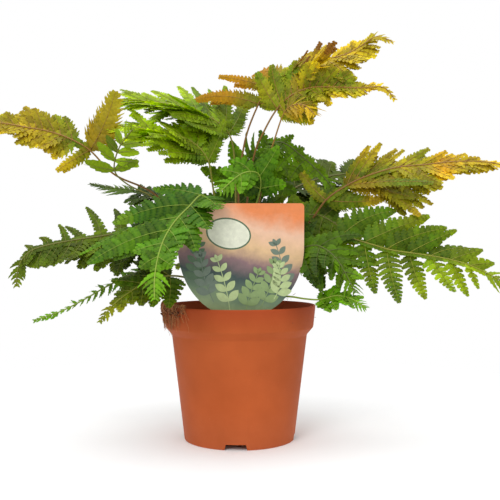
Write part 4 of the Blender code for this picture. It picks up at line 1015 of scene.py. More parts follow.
class Spine:
    """A smooth curve through a frond's points, straight at first, read by the share of its length."""

    def __init__(self, points):
        self.points = [points[0]]
        self.marks = [0]
        for k in range(1, len(points) - 1):
            self.marks.append(len(self.points))
            before, start, end = points[k - 1], points[k], points[k + 1]
            beyond = points[k + 2] if k + 2 < len(points) else end + (end - start)
            for step in range(SPINE_STEPS):
                self.points.append(through(before, start, end, beyond, step / SPINE_STEPS))
        self.marks.append(len(self.points))
        self.points.append(points[-1])
        self.lengths = [0.0]
        for a, b in zip(self.points, self.points[1:]):
            self.lengths.append(self.lengths[-1] + (b - a).length)

    def share_at(self, mark):
        return self.lengths[self.marks[mark]] / self.lengths[-1]

    def at(self, share):
        """The point and the direction at a share of the length."""
        want = share * self.lengths[-1]
        k = 0
        while k < len(self.points) - 2 and self.lengths[k + 1] < want:
            k += 1
        step = self.points[k + 1] - self.points[k]
        along = (want - self.lengths[k]) / step.length
        before = self.points[max(k - 1, 0)]
        after = self.points[min(k + 2, len(self.points) - 1)]
        start_way = (self.points[k + 1] - before).normalized()
        end_way = (after - self.points[k]).normalized()
        return self.points[k] + step * along, start_way.lerp(end_way, along).normalized()


def through(before, start, end, beyond, t):
    """A point of the smooth curve from start to end, given the points on either side."""
    return 0.5 * (
        2 * start
        + (end - before) * t
        + (2 * before - 5 * start + 4 * end - beyond) * t**2
        + (3 * start - before - 3 * end + beyond) * t**3
    )


class Station:
    """One place along a rib: its centre, direction, right and upper side, the half width that is left
    between leaflets, and how far the leaflets reach to the left and to the right."""

    def __init__(self, centre, way, right, rib, spans, half):
        self.centre = centre
        self.way = way
        self.right = right
        self.up = right.cross(way)
        self.rib = rib
        self.spans = spans
        self.half = half


def leaflet_tip(before, station, side):
    """The point of the leaflet between two stations, on the left (-1) or the right (1)."""
    middle = (before.centre + station.centre) / 2
    reach = (before.spans[side > 0] + station.spans[side > 0]) / 2
    onward = station.way * (LEAFLET_LEAN * reach) - station.up * (LEAFLET_ARCH * reach)
    return middle + station.right * (side * reach) + onward


def grow(sheet, left, right, stations, tip):
    """Grows a rib with triangular leaflets on both sides from the edge between two points of a sheet."""
    before = None
    for station in stations:
        new_left = sheet.add(station.centre - station.right * station.rib, station.up, station.half)
        new_right = sheet.add(station.centre + station.right * station.rib, station.up, station.half)
        sheet.faces += [(left, right, new_right), (left, new_right, new_left)]
        if before:
            point = sheet.add(leaflet_tip(before, station, -1), station.up, BLADE_HALF)
            sheet.faces.append((new_left, point, left))
            point = sheet.add(leaflet_tip(before, station, 1), station.up, BLADE_HALF)
            sheet.faces.append((right, point, new_right))
        left, right, before = new_left, new_right, station
    end = sheet.add(tip, before.up, BLADE_HALF)
    sheet.faces.append((left, right, end))


def blend(a, b, share):
    return a + (b - a) * share


def around_share(values, share):
    """The two values on either side of a share of a list, and how far it is between them."""
    place = share * (len(values) - 1)
    k = min(int(place), len(values) - 2)
    return values[k], values[k + 1], place - k


def four_draws(rng):
    return [rng.uniform(-1, 1) for _ in range(4)]


def outline_share(v):
    """The half width of a pinna along it, over its widest: widest near the foot, drawn out to the tip."""
    return min(1.0, OUTLINE_FOOT + OUTLINE_WIDENS * v) * max(1.0 - v, 0.0) ** OUTLINE_TAPER


def blade_share(along, taper):
    """The length of a pinna over the longest, by where on the blade it stands."""
    return min(1.0, BLADE_FOOT + BLADE_WIDENS * along) * (1.0 - along) ** taper


class Pinna:
    """One side branch of a blade, with its leaflets."""

    def __init__(self, frond, pair, side, share, draws):
        turn_by, stretch, sag, roll = draws
        along = (share - frond.blade_start) / (1.0 - frond.blade_start)
        spec = frond.spec
        self.along = along
        self.pair = pair
        self.side = side
        self.frame = frond.frame(share)
        self.base = self.frame[0]
        self.stem = frond.stem
        degrees = blend(*spec["angles"], along) + spec["turned"][side > 0]
        self.angle = max(math.radians(degrees) + ANGLE_SPREAD * turn_by, ANGLE_LEAST)
        self.lift = math.radians(spec["lift"][side > 0])
        self.droop = spec["droop"] * (1.0 + SAG_SPREAD * sag)
        self.length = frond.pinna_length(along, side) * (1.0 + LENGTH_SPREAD * stretch)
        self.cut = spec["cut"]
        wide = spec["wide"][side > 0]
        self.special = spec["special"].get((pair, side))
        if self.special:
            self.length, degrees, rise, self.droop, wide = self.special
            self.angle, self.lift = math.radians(degrees), math.radians(rise)
        room = PINNA_COVER * frond.spacing(along) * math.sin(self.angle)
        self.span = min(wide * self.length + SPAN_MORE, room)
        self.twist = PINNA_TWIST * (1.0 + TWIST_SPREAD * roll)
        self.bend = 0.0
        self.shrink = 1.0

    def course(self):
        """Points and directions along the rib: off at its angle, swept to the frond's tip, and sagging."""
        base, way, up, right = self.frame
        heading = way * math.cos(self.angle) + right * (self.side * math.sin(self.angle))
        lift = self.lift + math.radians(self.bend)
        heading = heading * math.cos(lift) + up * math.sin(lift)
        point = base
        steps = [(point, heading)]
        for k in range(COURSE_STEPS):
            v = (k + 0.5) / COURSE_STEPS
            onward = (heading + way * (PINNA_SWEEP * v) + Vector((0, 0, -self.droop * v))).normalized()
            point = point + onward * (self.length * self.shrink / COURSE_STEPS)
            steps.append((point, onward))
        return steps

    def station(self, steps, v):
        """The rib at a share of its length."""
        before, after, step = around_share(steps, v)
        centre = before[0].lerp(after[0], step)
        onward = before[1].lerp(after[1], step).normalized()
        across = self.frame[1]
        right = (across - onward * across.dot(onward)).normalized() * -self.side
        up = right.cross(onward)
        right = right * math.cos(self.twist) + up * (math.sin(self.twist) * self.side)
        span = max(self.span * self.shrink * outline_share(v), SPAN_LEAST)
        rib = max(blend(RIB_HALF, RIB_HALF_TIP, v), self.cut * span)
        off_rachis = v * self.length * self.shrink * math.sin(self.angle) - RACHIS_ROOM
        inner = min(span, off_rachis / max(math.cos(self.angle), SLANT_LEAST))
        rib = min(rib, max(inner * INNER_RIB, RIB_HALF_TIP))
        inner = max(inner, rib)
        spans = (inner, span) if self.side > 0 else (span, inner)
        return Station(centre, onward, right, rib, spans, blend(PINNA_HALF, BLADE_HALF, v))

    def sheet(self, foot):
        """The pinna as a sheet whose first two points are its foot on the rachis."""
        steps = self.course()
        length = self.length * self.shrink
        pairs = max(1, min(LEAFLET_MOST, round(length / LEAFLET_PITCH)))
        bare = max(PINNA_BARE, PINNA_OFF / math.sin(self.angle) / length)
        sheet = Sheet()
        for point in foot:
            sheet.add(point, self.frame[2], BLADE_HALF)
        shares = [blend(bare, LEAFLET_LAST, k / pairs) for k in range(pairs + 1)]
        stations = [self.station(steps, v) for v in shares]
        grow(sheet, 0, 1, stations, steps[-1][0])
        return sheet


class Frond:
    """One frond: its stalk and rachis, the leafy tip, and its pinnae."""

    def __init__(self, spec, seed):
        spec = {**USUAL_FROND, **spec}
        self.spec = spec
        self.random = random.Random(seed)
        x, y = spec["crown"]
        foot = Vector((x * ROOT_SPREAD, y * ROOT_SPREAD, ROOT_END))
        self.spine = Spine([foot, Vector((x, y, CROWN_HEIGHT))] + [Vector(p) for p in spec["course"]])
        self.blade_start = self.spine.share_at(spec["bare"] + 1)
        self.blade_length = self.spine.lengths[-1] * (1.0 - self.blade_start)
        self.places = spec["pairs"] + TERMINAL_ROOM
        self.sheet = Sheet()
        self.pinnae = []
        self.feet = []
        self.build_rachis()

    def spacing(self, along):
        """The distance between neighbouring pinnae on one side at a share of the blade."""
        return self.blade_length / self.places * blend(1.0 + PAIRS_CLOSE, 1.0 - PAIRS_CLOSE, along)

    def pair_share(self, k):
        """The share of the spine where the pair k leaves it: wide apart at the foot, close at the tip."""
        x = k / self.places
        return blend(self.blade_start, 1.0, (1.0 + PAIRS_CLOSE) * x - PAIRS_CLOSE * x * x)

    def frame(self, share):
        """The point, direction, upper side and right side of the blade at a share of the spine."""
        point, way = self.spine.at(share)
        along = max(0.0, (share - self.blade_start) / (1.0 - self.blade_start))
        low, high, step = around_share(self.spec["face"], along)
        face = Vector(low).lerp(Vector(high), step)
        up = (face - way * face.dot(way)).normalized()
        return point, way, up, way.cross(up)

    def pinna_length(self, along, side):
        """The length of a pinna by where on the blade it stands."""
        return self.spec["reach"][side > 0] * blade_share(along, self.spec["taper"]) + PINNA_LEAST

    def terminal(self):
        """Where the leafy tip starts on the spine, and how far its leaflets reach there."""
        start = self.pair_share(self.places - TERMINAL_FROM)
        along = (start - self.blade_start) / (1.0 - self.blade_start)
        return start, TERMINAL_SPAN * min(self.pinna_length(along, -1), self.pinna_length(along, 1))

    def add_row(self, share):
        point, _, up, right = self.frame(share)
        half = blend(STALK_HALF_FOOT, STALK_HALF_TIP, share)
        left_point = self.sheet.add(point - right * half, up, half * STALK_DEPTH)
        right_point = self.sheet.add(point + right * half, up, half * STALK_DEPTH)
        return left_point, right_point

    def build_rachis(self):
        """The strip of the stalk and rachis, with a foot for each pinna, and the leafy tip."""
        total = self.spine.lengths[-1]
        foot_half = PINNA_FOOT_HALF / total
        shares = [self.blade_start * k / STALK_SEGMENTS for k in range(STALK_SEGMENTS)]
        for k in range(self.spec["pairs"]):
            share = self.pair_share(k)
            shares += [share - foot_half, share + foot_half]
        rows = [self.add_row(share) for share in shares]
        for (left, right), (next_left, next_right) in zip(rows, rows[1:]):
            self.sheet.faces += [(left, right, next_right), (left, next_right, next_left)]
        for k in range(self.spec["pairs"]):
            low, high = rows[STALK_SEGMENTS + 2 * k], rows[STALK_SEGMENTS + 2 * k + 1]
            self.feet.append((k, (low[0], high[0]), (high[1], low[1])))
        tip = Sheet()
        for index in rows[-1]:
            tip.add(self.sheet.points[index], self.sheet.normals[index], self.sheet.halves[index])
        start, span = self.terminal()
        stations = []
        for k in range(TERMINAL_PAIRS + 1):
            v = k / TERMINAL_PAIRS
            share = blend(start, 1.0 - TERMINAL_END / total, v)
            point, way, _, right = self.frame(share)
            reach = blend(span, TERMINAL_LEAST, v)
            filled = self.spec["cut"] * reach * min(1.0, TERMINAL_FILL * v)
            rib = max(blend(RIB_HALF, RIB_HALF_TIP, v), filled)
            stations.append(Station(point, way, right, rib, (reach, reach), BLADE_HALF))
        grow(tip, 0, 1, stations, self.spine.at(1.0)[0])
        self.sheet.take(tip, rows[-1])
        self.stem = Blocker(*self.sheet.solid())

    def grow_pinnae(self, blockers):
        """Adds the pinnae, each bent clear of what stands there already, or shorter, or left out."""
        for pair, left_foot, right_foot in self.feet:
            for side, foot in ((-1, left_foot), (1, right_foot)):
                pinna = Pinna(self, pair, side, self.pair_share(pair), four_draws(self.random))
                feet = [self.sheet.points[index] for index in foot]
                sheet = clear_sheet(pinna, feet, blockers)
                if sheet:
                    blockers.append(Blocker(*sheet.solid(GROWN_CLEARANCE)))
                    self.pinnae.append(pinna)
                    self.sheet.take(sheet, foot)


def clear_sheet(pinna, feet, blockers):
    """The pinna's sheet at the first bend and length where it meets nothing, or None."""
    for pinna.shrink in SHRINKS:
        for pinna.bend in BENDS:
            sheet = pinna.sheet(feet)
            shape = Blocker(*sheet.solid(CLEARANCE))
            if Blocker(*sheet.solid_after(2, STEM_CLEARANCE)).meets(pinna.stem):
                continue
            if not any(shape.meets(blocker) for blocker in blockers):
                return sheet
    return None


def tuft_course(end, drops):
    """The way over the rim and down to a height in some drops, each a place by radius and height."""
    course = list(TUFT_COURSE)
    for drop in drops:
        height = blend(TUFT_COURSE[-1][1], end, drop)
        course.append((wall_radius(max(height, BAND_BOTTOM)) + TUFT_OFF_WALL, height))
    return course


def tuft_sheet():
    """The tuft of dry roots: a ragged mat from the peat up inside the rim, over it and down outside."""
    sheet = Sheet()
    columns = []
    for k, end in enumerate(TUFT_ENDS):
        angle = blend(TUFT_START, TUFT_END, k / (len(TUFT_ENDS) - 1))
        course = tuft_course(end, TUFT_DROPS)
        column = []
        for j, (radius, height) in enumerate(course):
            r0, z0 = course[max(j - 1, 0)]
            r1, z1 = course[min(j + 1, len(course) - 1)]
            way = Vector((r1 - r0, z1 - z0)).normalized()
            normal = turn(-way.y, angle, way.x)
            column.append(sheet.add(turn(radius, angle, height), normal, TUFT_HALF))
        columns.append(column)
    for first, second in zip(columns, columns[1:]):
        for a, b, c, d in zip(first, first[1:], second[1:], second):
            sheet.faces += [(a, b, c), (a, c, d)]
    return sheet


def keep_out_shapes():
    """Simple shapes a little larger than the pot with its soil, the label and the tuft."""
    outer = [
        (0.0, KEEP_OUT_FROM),
        (BODY_RADIUS + KEEP_OUT, KEEP_OUT_FROM),
        (BODY_RADIUS + KEEP_OUT, BODY_TOP - KEEP_OUT),
        (LIP_RADIUS + KEEP_OUT, BAND_BOTTOM - KEEP_OUT),
        (LIP_RADIUS + KEEP_OUT, POT_HEIGHT + KEEP_OUT),
        (LIP_RADIUS - WALL - KEEP_OUT, POT_HEIGHT + KEEP_OUT),
        (BAND_RADIUS - WALL - KEEP_OUT, SOIL_TOP + KEEP_OUT),
        (0.0, SOIL_TOP + KEEP_OUT),
    ]
    shift = Vector((0, (LABEL_THICKNESS + KEEP_OUT) / 2, 0))
    outline = [label_point(x, z) - shift for x, z in label_outline()]
    return [
        Blocker(*lathe(outer, KEEP_OUT_SIDES)),
        Blocker(*prism(outline, 2 * shift)),
        Blocker(*tuft_sheet().solid(KEEP_OUT / 2)),
    ]


def grow_fronds():
    """All fronds, each pinna bent clear of the pot, the label, all stalks and the pinnae before it."""
    fronds = [Frond(spec, seed) for seed, spec in enumerate(FRONDS, start=FIRST_SEED)]
    blockers = keep_out_shapes()
    for frond in fronds:
        stems = [other.stem for other in fronds if other is not frond]
        pinnae = blockers + stems
        known = len(pinnae)
        frond.grow_pinnae(pinnae)
        blockers += pinnae[known:]
    return fronds


def put_in_scene(name, data):
    """An object of a mesh, light or camera, linked to the scene."""
    obj = bpy.data.objects.new(name, data)
    bpy.context.scene.collection.objects.link(obj)
    return obj


class Patch:
    """Points, faces, colours and finishes gathered for one piece."""

    def __init__(self):
        self.points = []
        self.colours = []
        self.faces = []
        self.finishes = []

    def point(self, place, colour):
        self.points.append(place)
        self.colours.append(colour)
        return len(self.points) - 1

    def face(self, corners, finish=0):
        self.faces.append(corners)
        self.finishes.append(finish)

    def shape(self, points, faces, colour, finish=0):
        """Adds a ready shape in one colour."""
        start = len(self.points)
        for place in points:
            self.point(place, colour)
        for face in faces:
            self.face(tuple(start + k for k in face), finish)

    def tube(self, places, radii, colours, sides, finish=0):
        """Adds a closed round tube along places, drawn to a point at its end."""
        way = (places[1] - places[0]).normalized()
        across = way.orthogonal().normalized()
        rings = []
        for k, place in enumerate(places):
            after = places[min(k + 1, len(places) - 1)]
            before = places[max(k - 1, 0)]
            way = (after - before).normalized()
            across = (across - way * across.dot(way)).normalized()
            other = way.cross(across)
            ring = []
            for angle in around(sides):
                out = across * math.cos(angle) + other * math.sin(angle)
                ring.append(self.point(place + out * radii[k], colours[k]))
            rings.append(ring)
        for low, high in zip(rings, rings[1:]):
            for j, after in ring_steps(sides):
                self.face((low[j], low[after], high[after], high[j]), finish)
        self.face(tuple(reversed(rings[0])), finish)
        tip = self.point(places[-1] + way * radii[-1], colours[-1])
        for j, after in ring_steps(sides):
            self.face((rings[-1][j], rings[-1][after], tip), finish)

    def make(self, name, finishes, sharp=None):
        """The piece's object."""
        mesh = bpy.data.meshes.new(name)
        mesh.from_pydata([tuple(place * METRES) for place in self.points], [], self.faces)
        for finish in finishes:
            mesh.materials.append(finish_of(finish))
        mesh.polygons.foreach_set("material_index", self.finishes)
        tint = mesh.color_attributes.new(TINT, "FLOAT_COLOR", "POINT")
        tint.data.foreach_set("color", [c for colour in self.colours for c in (*colour, 1.0)])
        mesh.shade_smooth()
        if sharp:
            mesh.set_sharp_from_angle(angle=sharp)
        mesh.update()
        return put_in_scene(name, mesh)


def settle(obj, node):
    """Puts a piece on the model's one body, in place of a solid."""
    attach(obj, "root")
    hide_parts(node)


def leaflet_places(length, pitch):
    """For each pair of leaflets its share of the rib's length and its distance to the next pair."""
    count = max(LEAFLETS_LEAST, round(length / pitch))
    reach = LEAFLETS_END - FINE_BARE
    places = []
    for k in range(count):
        x = (k + 0.5) / count
        share = FINE_BARE + reach * ((1 + LEAFLETS_CLOSE) * x - LEAFLETS_CLOSE * x * x)
        spacing = length * reach / count * (1 + LEAFLETS_CLOSE - 2 * LEAFLETS_CLOSE * x)
        places.append((share, spacing))
    return places


def add_leaflet(patch, root, ways, reach, half, style, tones, draws):
    """One leaflet, creased along its vein, with a toothed edge.

    ways are the rib's way, the way out from it and the upper side, tones the colours of the blade, the vein
    and the teeth."""
    way, out, up = ways
    blade, vein, edge = tones
    fused, neck, taper, tooth = style["fused"], style["neck"], style["taper"], style["tooth"]
    lean = style["lean"] * (1.0 + LEAN_SPREAD * draws[0])
    arch = LEAFLET_ARCH * (1.0 + ARCH_SPREAD * draws[1])
    roll = LEAFLET_ROLL * (1.0 + ROLL_SPREAD * draws[2])
    straight = (way - out * lean).normalized()
    rows = 2 * max(TEETH_LEAST, min(TEETH_MOST, round(reach / TOOTH_PITCH)))
    before = None
    for j in range(rows + 1):
        u = j / rows
        onward = lean * reach * u * blend(LEAN_FOOT, 1.0, u)
        middle = root + out * (reach * u) + way * onward - up * (arch * reach * u * u)
        spine = patch.point(middle, blade.lerp(vein, VEIN_SHARE * (1.0 - VEIN_FADE * u)))
        if j == rows:
            patch.face((before[0], before[1], spine))
            patch.face((before[2], before[0], spine))
            break
        off_neck = min(1.0, u / NECK_LENGTH)
        share = min(1.0, ((1.0 - u) / (1.0 - fused)) ** taper) * blend(neck, 1.0, off_neck)
        pointed = j % 2 == 1
        width = half * share * (1.0 + (tooth if pointed else -tooth) * min(1.0, TEETH_RISE * u))
        shift = out * (TOOTH_FORWARD * width) if pointed else Vector()
        dip = up * (CREASE * width)
        across = way.lerp(straight, off_neck).normalized()
        across = across * math.cos(roll) + up * math.sin(roll)
        tone = blade.lerp(edge, u) if pointed else blade * NOTCH_TONE
        front = patch.point(middle + across * width + shift - dip, tone)
        rear = patch.point(middle - across * width + shift - dip, tone)
        if before:
            patch.face((before[0], before[1], front, spine))
            patch.face((before[2], before[0], spine, rear))
        before = (spine, front, rear)


def within(value):
    """The value, or 0 or 1 where it lies beyond them."""
    return min(1.0, max(0.0, value))


class Colouring:
    """The colours of one frond, by place."""

    def __init__(self, frond):
        self.palette = PALETTES[frond.spec["colour"]]
        self.lighter, self.turned = SHADES_AND_PAINTED_LIGHT.get(frond.spec["name"], (1.0, 0.0))
        self.shift = Vector((frond.spec["crown"][0], PATCH_SHIFT, frond.spec["crown"][1]))

    def tones(self, place, along, draw, tone):
        """The blade, vein and tooth colours of a leaflet at a share of the frond's blade."""
        palette = self.palette
        near = noise.noise((place + self.shift) / PATCH_SIZE)
        far = noise.noise((place - self.shift) / PATCH_SIZE + WARM_SHIFT)
        blade = palette["foot"].lerp(palette["tip"], within(along + self.turned + PATCH_MIX * near))
        blade = blade.lerp(palette["warm"], within(palette["warmth"] + WARM_MIX * far))
        # lighter is partly the frond's own colour, partly painted light for how the light falls on the frond
        blade = blade * (self.lighter * tone * (1.0 + TONE_SPREAD * draw))
        vein = blade.lerp(palette["rib"], VEIN_RIB) * VEIN_TONE
        return blade, vein, blade.lerp(palette["warm"], EDGE_WARMTH)

    def stalk(self, share):
        return self.palette["stalk"].lerp(self.palette["rib"], min(1.0, share * STALK_TURNS))


def added_pinnae(frond, first, second):
    """More pinnae between two of the solid's, or after the last one of a side."""
    added = []
    count = first.style["between"]
    if first.special or (second and second.special):
        return added
    for k in range(count):
        extra = copy.copy(first)
        step = (k + 1) / (count + 1)
        extra.frame = frond.frame(frond.pair_share(first.pair + step))
        extra.base = extra.frame[0]
        if second:
            for name in ("along", "angle", "lift", "droop", "length", "span", "bend", "shrink"):
                setattr(extra, name, blend(getattr(first, name), getattr(second, name), step))
        else:
            extra.length *= LAST_PINNA ** (2 * step)
            extra.span *= LAST_PINNA ** (2 * step)
        added.append(extra)
    return added


def vary(pinna, frond_name, rng):
    """Changes a pinna a little by chance, and settles its tone and whether it has dried."""
    if pinna.style["between"] and not pinna.special:
        pinna.span *= FINER_SPAN
    pinna.length *= 1.0 + FINER_LENGTH_SPREAD * rng.uniform(-1, 1)
    for name, spread in FINER_SPREADS:
        setattr(pinna, name, getattr(pinna, name) + spread * rng.uniform(-1, 1))
    pinna.tone = 1.0 + PINNA_TONE_SPREAD * rng.uniform(-1, 1)
    pinna.strip = STRIP_COLOURS.get(frond_name) if pinna.special else None
    pinna.dried = rng.random() < DRIED_SHARE.get(frond_name, 0.0) and pinna.along < DRIED_UP_TO
    if pinna.dried:
        pinna.droop = DRIED_CURL
        pinna.span *= DRIED_WIDTH


def under(pinna, rng):
    """A shorter pinna a little below another, which closes the gaps beside it, darkened as painted shade."""
    lower = copy.copy(pinna)
    lower.lift += UNDER_LIFT * rng.uniform(*UNDER_LIFTS)
    lower.angle += UNDER_TURN * rng.uniform(-1, 1)
    lower.length *= UNDER_LENGTH * rng.uniform(*UNDER_LENGTHS)
    # painted shade: darkened as if in the shadow of the pinna above
    lower.tone *= UNDER_PAINTED_SHADE
    lower.dried = False
    return lower


def finer_pinnae(frond, rng):
    """The solid's pinnae with the added ones, each varied a little, and the ones under them."""
    name = frond.spec["name"]
    styles = LEAFLET_STYLE.get(name, ("broad", "broad"))
    finer = []
    for side in (-1, 1):
        row = [pinna for pinna in frond.pinnae if pinna.side == side]
        for pinna in row:
            pinna.style = {**USUAL_STYLE, **STYLES[styles[side > 0]]}
        for first, second in zip(row, row[1:] + [None]):
            finer += [first] + added_pinnae(frond, first, second)
    for pinna in finer:
        vary(pinna, name, rng)
    return finer + [under(pinna, rng) for pinna in finer if pinna.style["backed"]]


def add_rib(patch, steps, colour):
    """The round rib along a pinna's course."""
    places = [point for point, _ in steps[::2]]
    radii = [blend(RIB_RADIUS, RIB_RADIUS_TIP, k / (len(places) - 1)) for k in range(len(places))]
    patch.tube(places, radii, [colour] * len(places), RIB_SIDES, STALK_FINISH)


def add_whole_leaflet(patch, pinna, steps, colours, rng):
    """One leaflet in place of a whole pinna."""
    station = pinna.station(steps, 0.5)
    draws = four_draws(rng)
    tones = colours.tones(station.centre, pinna.along, draws[3], pinna.tone)
    ways = (station.right, station.way, station.up)
    length = pinna.length * pinna.shrink
    add_leaflet(patch, pinna.base, ways, length, pinna.span * SINGLE_OVER, pinna.style, tones, draws)


def add_leaflet_rows(patch, pinna, steps, colours, rng):
    """The two rows of leaflets on a pinna, which grow together towards its tip."""
    length = pinna.length * pinna.shrink
    style = dict(pinna.style)
    for v, spacing in leaflet_places(length, style["pitch"]):
        station = pinna.station(steps, v)
        whole = within(max(v * v, 1.0 - length / SHORT_PINNA))
        style["fused"] = blend(pinna.style["fused"], TIP_FUSED, whole)
        for side in (-1, 1):
            draws = four_draws(rng)
            span = max(station.spans[side > 0], INNER_LEAST * pinna.span * outline_share(v))
            over = style["over"] * (1.0 + style["fuller"] * v)
            tones = colours.tones(station.centre, pinna.along + OUTWARD_TURN * v, draws[3], pinna.tone)
            if pinna.strip:
                name, most = pinna.strip
                share = most * min(1.0, STRIP_FADE * v)
                tones = [tone.lerp(colours.palette[name], share) for tone in tones]
            if pinna.dried:
                dry = within((v - DRIED_FROM) / DRIED_FADE)
                tones = [tone.lerp(DRIED_COLOUR, dry) for tone in tones]
            reach = span * over * (1.0 + REACH_SPREAD * draws[3])
            half = spacing / 2 * style["cover"]
            ways = (station.way, station.right * side, station.up)
            add_leaflet(patch, station.centre, ways, reach, half, style, tones, draws)


def add_rachis_pair(patch, frond, share, along, reach, half, colours, rng):
    """Two leaflets on the rachis itself, at a share of the spine."""
    point, way, up, right = frond.frame(share)
    for side in (-1, 1):
        draws = four_draws(rng)
        tones = colours.tones(point, along, draws[3], 1.0)
        ways = (way, right * side, up)
        longer = 1.0 + REACH_SPREAD * draws[3]
        add_leaflet(patch, point, ways, reach * longer, half, STYLES["tip"], tones, draws)


def add_tip(patch, frond, colours, rng):
    """The leafy tip of a frond, whose leaflets sit on the rachis."""
    start, span = frond.terminal()
    length = frond.spine.lengths[-1] * (1.0 - start)
    style = STYLES["tip"]
    for v, spacing in leaflet_places(length, style["pitch"]):
        reach = blend(span, TERMINAL_LEAST, v) * REACH_OVER
        half = spacing / 2 * style["cover"]
        add_rachis_pair(patch, frond, blend(start, 1.0, v), 1.0, reach, half, colours, rng)


def add_rachis_leaflets(patch, frond, colours, rng):
    """Small leaflets on the rachis between the side branches of a close blade."""
    end, _ = frond.terminal()
    length = frond.spine.lengths[-1] * (end - frond.blade_start)
    count = round(length / RACHIS_PITCH)
    for k in range(count):
        along = (k + 0.5) / count
        share = blend(frond.blade_start, end, along)
        add_rachis_pair(patch, frond, share, along, RACHIS_REACH, RACHIS_PITCH, colours, rng)


def add_stalk(patch, frond, colours):
    """The round stalk and rachis along the frond's whole spine."""
    shares = [k / STALK_STEPS for k in range(STALK_STEPS + 1)]
    places = [frond.spine.at(share)[0] for share in shares]
    radii = [blend(STALK_HALF_FOOT, STALK_HALF_TIP, share) for share in shares]
    radii[-1] = RIB_RADIUS_TIP
    patch.tube(places, radii, [colours.stalk(share) for share in shares], STALK_SIDES, STALK_FINISH)


def add_scales(patch, frond, rng):
    """The brown scales and hairs on the lower part of a stalk."""
    total = frond.spine.lengths[-1]
    along, outward = SCALE_MIDDLE
    for _ in range(SCALES_PER_STALK):
        height = SCALES_FROM + SCALES_LENGTH * rng.random() ** SCALES_CROWD
        point, way, up, right = frond.frame(height / total)
        angle = rng.uniform(0, 2 * math.pi)
        out = right * math.cos(angle) + up * math.sin(angle)
        side = way.cross(out)
        length = rng.uniform(*SCALE_LENGTHS)
        width = length * rng.uniform(*SCALE_WIDTHS)
        root = point + out * STALK_HALF_FOOT * SCALE_ROOT
        middle = root + (way * along + out * outward) * (length / 2)
        tip = root + (way * SCALE_ALONG + out * rng.uniform(*SCALE_OUT)).normalized() * length
        tone = SCALE_COLOUR * rng.uniform(*SCALE_TONES)
        corners = [patch.point(p, tone) for p in (root, middle + side * width, tip, middle - side * width)]
        patch.face(tuple(corners), STALK_FINISH)


def make_frond(frond):
    """A frond's fine piece, in place of its solid."""
    name = frond.spec["name"]
    rng = random.Random(name)
    patch = Patch()
    colours = Colouring(frond)
    add_stalk(patch, frond, colours)
    add_scales(patch, frond, rng)
    for pinna in finer_pinnae(frond, rng):
        steps = pinna.course()
        add_rib(patch, steps, colours.palette["rib"])
        add_leaflets = add_leaflet_rows if pinna.style["pitch"] else add_whole_leaflet
        add_leaflets(patch, pinna, steps, colours, rng)
    add_tip(patch, frond, colours, rng)
    if frond.spec["cut"] <= CLOSE_CUT:
        add_rachis_leaflets(patch, frond, colours, rng)
    leaves = patch.make(name.replace("frond_", "leafy_"), ("leaf", "stalk"))
    settle(leaves, name)


def rounded(profile):
    """A profile of (radius, height, corner radius) with its corners turned into arcs."""
    points = []
    for k, (radius, height, corner) in enumerate(profile):
        here = Vector((radius, height))
        if not corner:
            points.append(tuple(here))
            continue
        before = Vector(profile[k - 1][:2])
        after = Vector(profile[k + 1][:2])
        start = here + (before - here).normalized() * corner
        end = here + (after - here).normalized() * corner
        for j in range(CORNER_STEPS + 1):
            t = j / CORNER_STEPS
            points.append(tuple(start * (1 - t) ** 2 + here * (2 * t * (1 - t)) + end * t**2))
    return points


def cut(obj, points, faces):
    """Cuts these closed shapes out of an object for good."""
    mesh = bpy.data.meshes.new("cutter")
    mesh.from_pydata([tuple(p * METRES) for p in points], [], faces)
    cutter = put_in_scene("cutter", mesh)
    modifier = obj.modifiers.new("Cut", "BOOLEAN")
    modifier.operation = "DIFFERENCE"
    modifier.object = cutter
    depsgraph = bpy.context.evaluated_depsgraph_get()
    whole = bpy.data.meshes.new_from_object(obj.evaluated_get(depsgraph))
    obj.modifiers.clear()
    obj.data = whole
    bpy.data.objects.remove(cutter)


def notch_shape(angle):
    """What is cut out of the pot's foot for one notch."""
    outward = turn(1.0, angle, 0.0)
    sideways = turn(1.0, angle + math.pi / 2, 0.0)
    start = outward * (FOOT_RADIUS - WALL - CUT_BEYOND)
    low = Vector((0, 0, -CUT_BEYOND))
    high = Vector((0, 0, BASE_UNDERSIDE - GAP))
    outline = [
        start - sideways * NOTCH_FOOT_WIDTH / 2 + low,
        start + sideways * NOTCH_FOOT_WIDTH / 2 + low,
        start + sideways * NOTCH_TOP_WIDTH / 2 + high,
        start - sideways * NOTCH_TOP_WIDTH / 2 + high,
    ]
    return prism(outline, outward * (WALL + 2 * CUT_BEYOND))


def drain_shape(angle):
    """What is cut out of the pot's base for one drain hole."""
    centre = turn(DRAIN_CIRCLE, angle, BASE_UNDERSIDE - WALL)
    outline = [centre + turn(DRAIN_RADIUS, corner, 0.0) for corner in around(DRAIN_FINE_SIDES)]
    return prism(outline, Vector((0, 0, 3 * WALL)))


